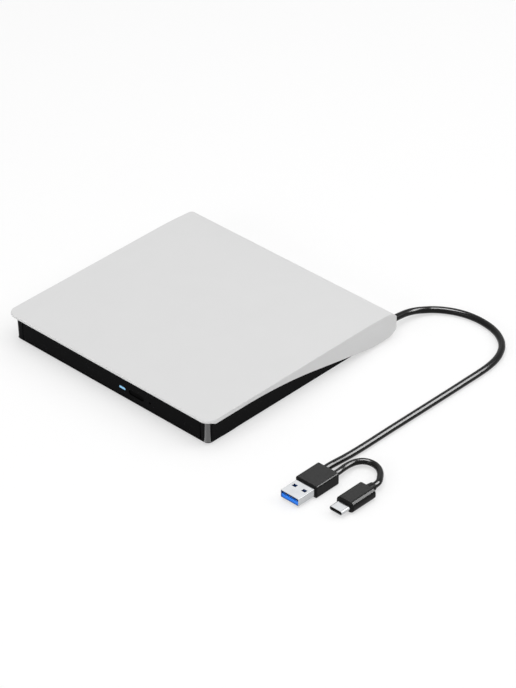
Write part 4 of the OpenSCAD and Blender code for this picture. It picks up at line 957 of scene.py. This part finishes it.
# %% Floor: a pale sheet that the eye sees nearer to white
REACH, UNDER = 6.0, -0.05 * MM
floor_mesh = bpy.data.meshes.new("floor")
corners = [(x, y, UNDER) for x, y in ((-REACH, -REACH), (REACH, -REACH), (REACH, REACH), (-REACH, REACH))]
floor_mesh.from_pydata(corners, [], [(0, 1, 2, 3)])
floor = put("floor", floor_mesh)
print("floor side:", 2 * REACH, "m")


# %% Finish of the floor
def seen_rays(tree):
    """1 for rays of the eye, of reflections and of glass, and 0 for rays that light a surface."""
    path = tree.nodes.new("ShaderNodeLightPath")
    seen = math_node(tree, "MAXIMUM", path.outputs["Is Camera Ray"], path.outputs["Is Glossy Ray"])
    return math_node(tree, "MAXIMUM", seen, path.outputs["Is Transmission Ray"])


ground = bpy.data.materials.new("pale_ground")
ground.use_nodes = True
sheet = ground.node_tree
paper = sheet.nodes["Principled BSDF"]
paper.inputs["Base Color"].default_value = (0.96, 0.96, 0.96, 1.0)
paper.inputs["Roughness"].default_value = 0.9
paper.inputs["Specular IOR Level"].default_value = 0.0
white = sheet.nodes.new("ShaderNodeEmission")
white.inputs["Strength"].default_value = 1.0
shown = sheet.nodes.new("ShaderNodeMixShader")
sheet.links.new(math_node(sheet, "MULTIPLY", seen_rays(sheet), 0.55), shown.inputs["Fac"])
sheet.links.new(paper.outputs["BSDF"], shown.inputs[1])
sheet.links.new(white.outputs["Emission"], shown.inputs[2])
sheet.links.new(shown.outputs["Shader"], sheet.nodes["Material Output"].inputs["Surface"])
floor_mesh.materials.append(ground)
print("floor finish:", ground.name)

# %% World: white to the eye, softer as a light
world = bpy.data.worlds.new("studio")
bpy.context.scene.world = world
world.use_nodes = True
sky = world.node_tree
background = sky.nodes["Background"]
background.inputs["Color"].default_value = (1.0, 1.0, 1.0, 1.0)
level = sky.nodes.new("ShaderNodeMapRange")
level.inputs["To Min"].default_value = 0.44
level.inputs["To Max"].default_value = 1.0
sky.links.new(seen_rays(sky), level.inputs["Value"])
sky.links.new(level.outputs["Result"], background.inputs["Strength"])
print("world:", world.name)

# %% [markdown]
# ## Lamps
# The light in the photograph is soft and comes mostly from above. A wide softbox over the drive gives the
# cover its even tone, a low one in front fills its front edge, and two behind light the sides and the plugs.
# Polished black would mirror the upper one as a white patch, so that one is left out of reflections.

# %% Softboxes
def softbox(name, turn, rise, size, power, distance=1.2, aim=(0.04, 0.0, 0.01), along=(0, 0, 1)):
    """An area lamp at an azimuth and elevation, facing its aim, with its second side along a direction."""
    lamp = bpy.data.lights.new(name, "AREA")
    lamp.shape = "RECTANGLE"
    lamp.size, lamp.size_y = size
    lamp.energy = power
    holder = put(name, lamp)
    a, e = math.radians(turn), math.radians(rise)
    away = Vector((math.sin(a) * math.cos(e), -math.cos(a) * math.cos(e), math.sin(e)))
    side = Vector(along).cross(away).normalized()
    holder.location = Vector(aim) + away * distance
    holder.rotation_mode = "QUATERNION"
    holder.rotation_quaternion = Matrix((side, away.cross(side), away)).transposed().to_quaternion()
    return holder


at_plugs = (0.143, -0.05, 0.006)
softboxes = [softbox("top_softbox", turn=43, rise=86, size=(1.2, 1.2), power=8.2),
             softbox("right_softbox", turn=137, rise=38, size=(0.6, 0.6), power=2.6),
             softbox("back_softbox", turn=221, rise=37, size=(0.5, 0.5), power=0.4, aim=at_plugs),
             softbox("front_fill", turn=0, rise=20, size=(1.0, 0.5), power=4.7, distance=1.5)]
softboxes[0].visible_glossy = False
print("softboxes:", [lamp.name for lamp in softboxes])

# %% [markdown]
# ## Light lines
# Black gloss shows its form by what it mirrors: a line along each cord, a sheen on the plugs, a streak at
# the case's front corner. A plain lamp for each would also light what stands round it. So each one is linked
# to its own pieces and works in gloss alone, which leaves the black as it is.

# %% Lamps that light their own pieces alone
def only_for(lamp, *pieces):
    """Lets a lamp light these pieces alone, in gloss, and keeps it out of the picture."""
    lit = bpy.data.collections.new("lit_by_" + lamp.name)
    for piece in pieces:
        lit.objects.link(piece)
    lamp.light_linking.receiver_collection = lit
    lamp.visible_camera = False
    lamp.visible_diffuse = False


cords = (main_cord, branch_cord)
plugs = (forms["usb_a_plug"], forms["usb_c_plug"])
only_for(softbox("right_strip", turn=145, rise=41.5, size=(0.32, 1.0), power=45.0, aim=(0.13, 0.0, 0.0),
                 along=(-0.82, 0, 0.574)), *cords, *plugs)
only_for(softbox("loop_strip", turn=43, rise=84, size=(0.7, 0.9), power=100.0, aim=(0.08, 0.1, 0.0),
                 along=(0.727, 0.687, 0)), *cords)
only_for(softbox("plug_softbox", turn=221, rise=37, size=(0.5, 0.5), power=15.5, aim=at_plugs), *plugs)
print("lamps so far:", len(bpy.data.lights))

# %% A small square lamp that lies on the floor, one corner towards the case's front corner
case_low, case_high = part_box("bottom_case")
front_corner = Vector((case_high.x, case_low.y, 0.0))
corner_strip = softbox("corner_strip", turn=22, rise=-90, size=(0.024, 0.024), power=0.089, distance=0.0,
                       along=(0.976, -0.219, 0))
corner_strip.location = front_corner + Vector((5.7, -10.4, 0.6)) * MM
only_for(corner_strip, forms["bottom_case"])
print("corner lamp at", [round(v / MM, 1) for v in corner_strip.location], "mm")

# %% View transform
bpy.context.scene.view_settings.view_transform = "Standard"
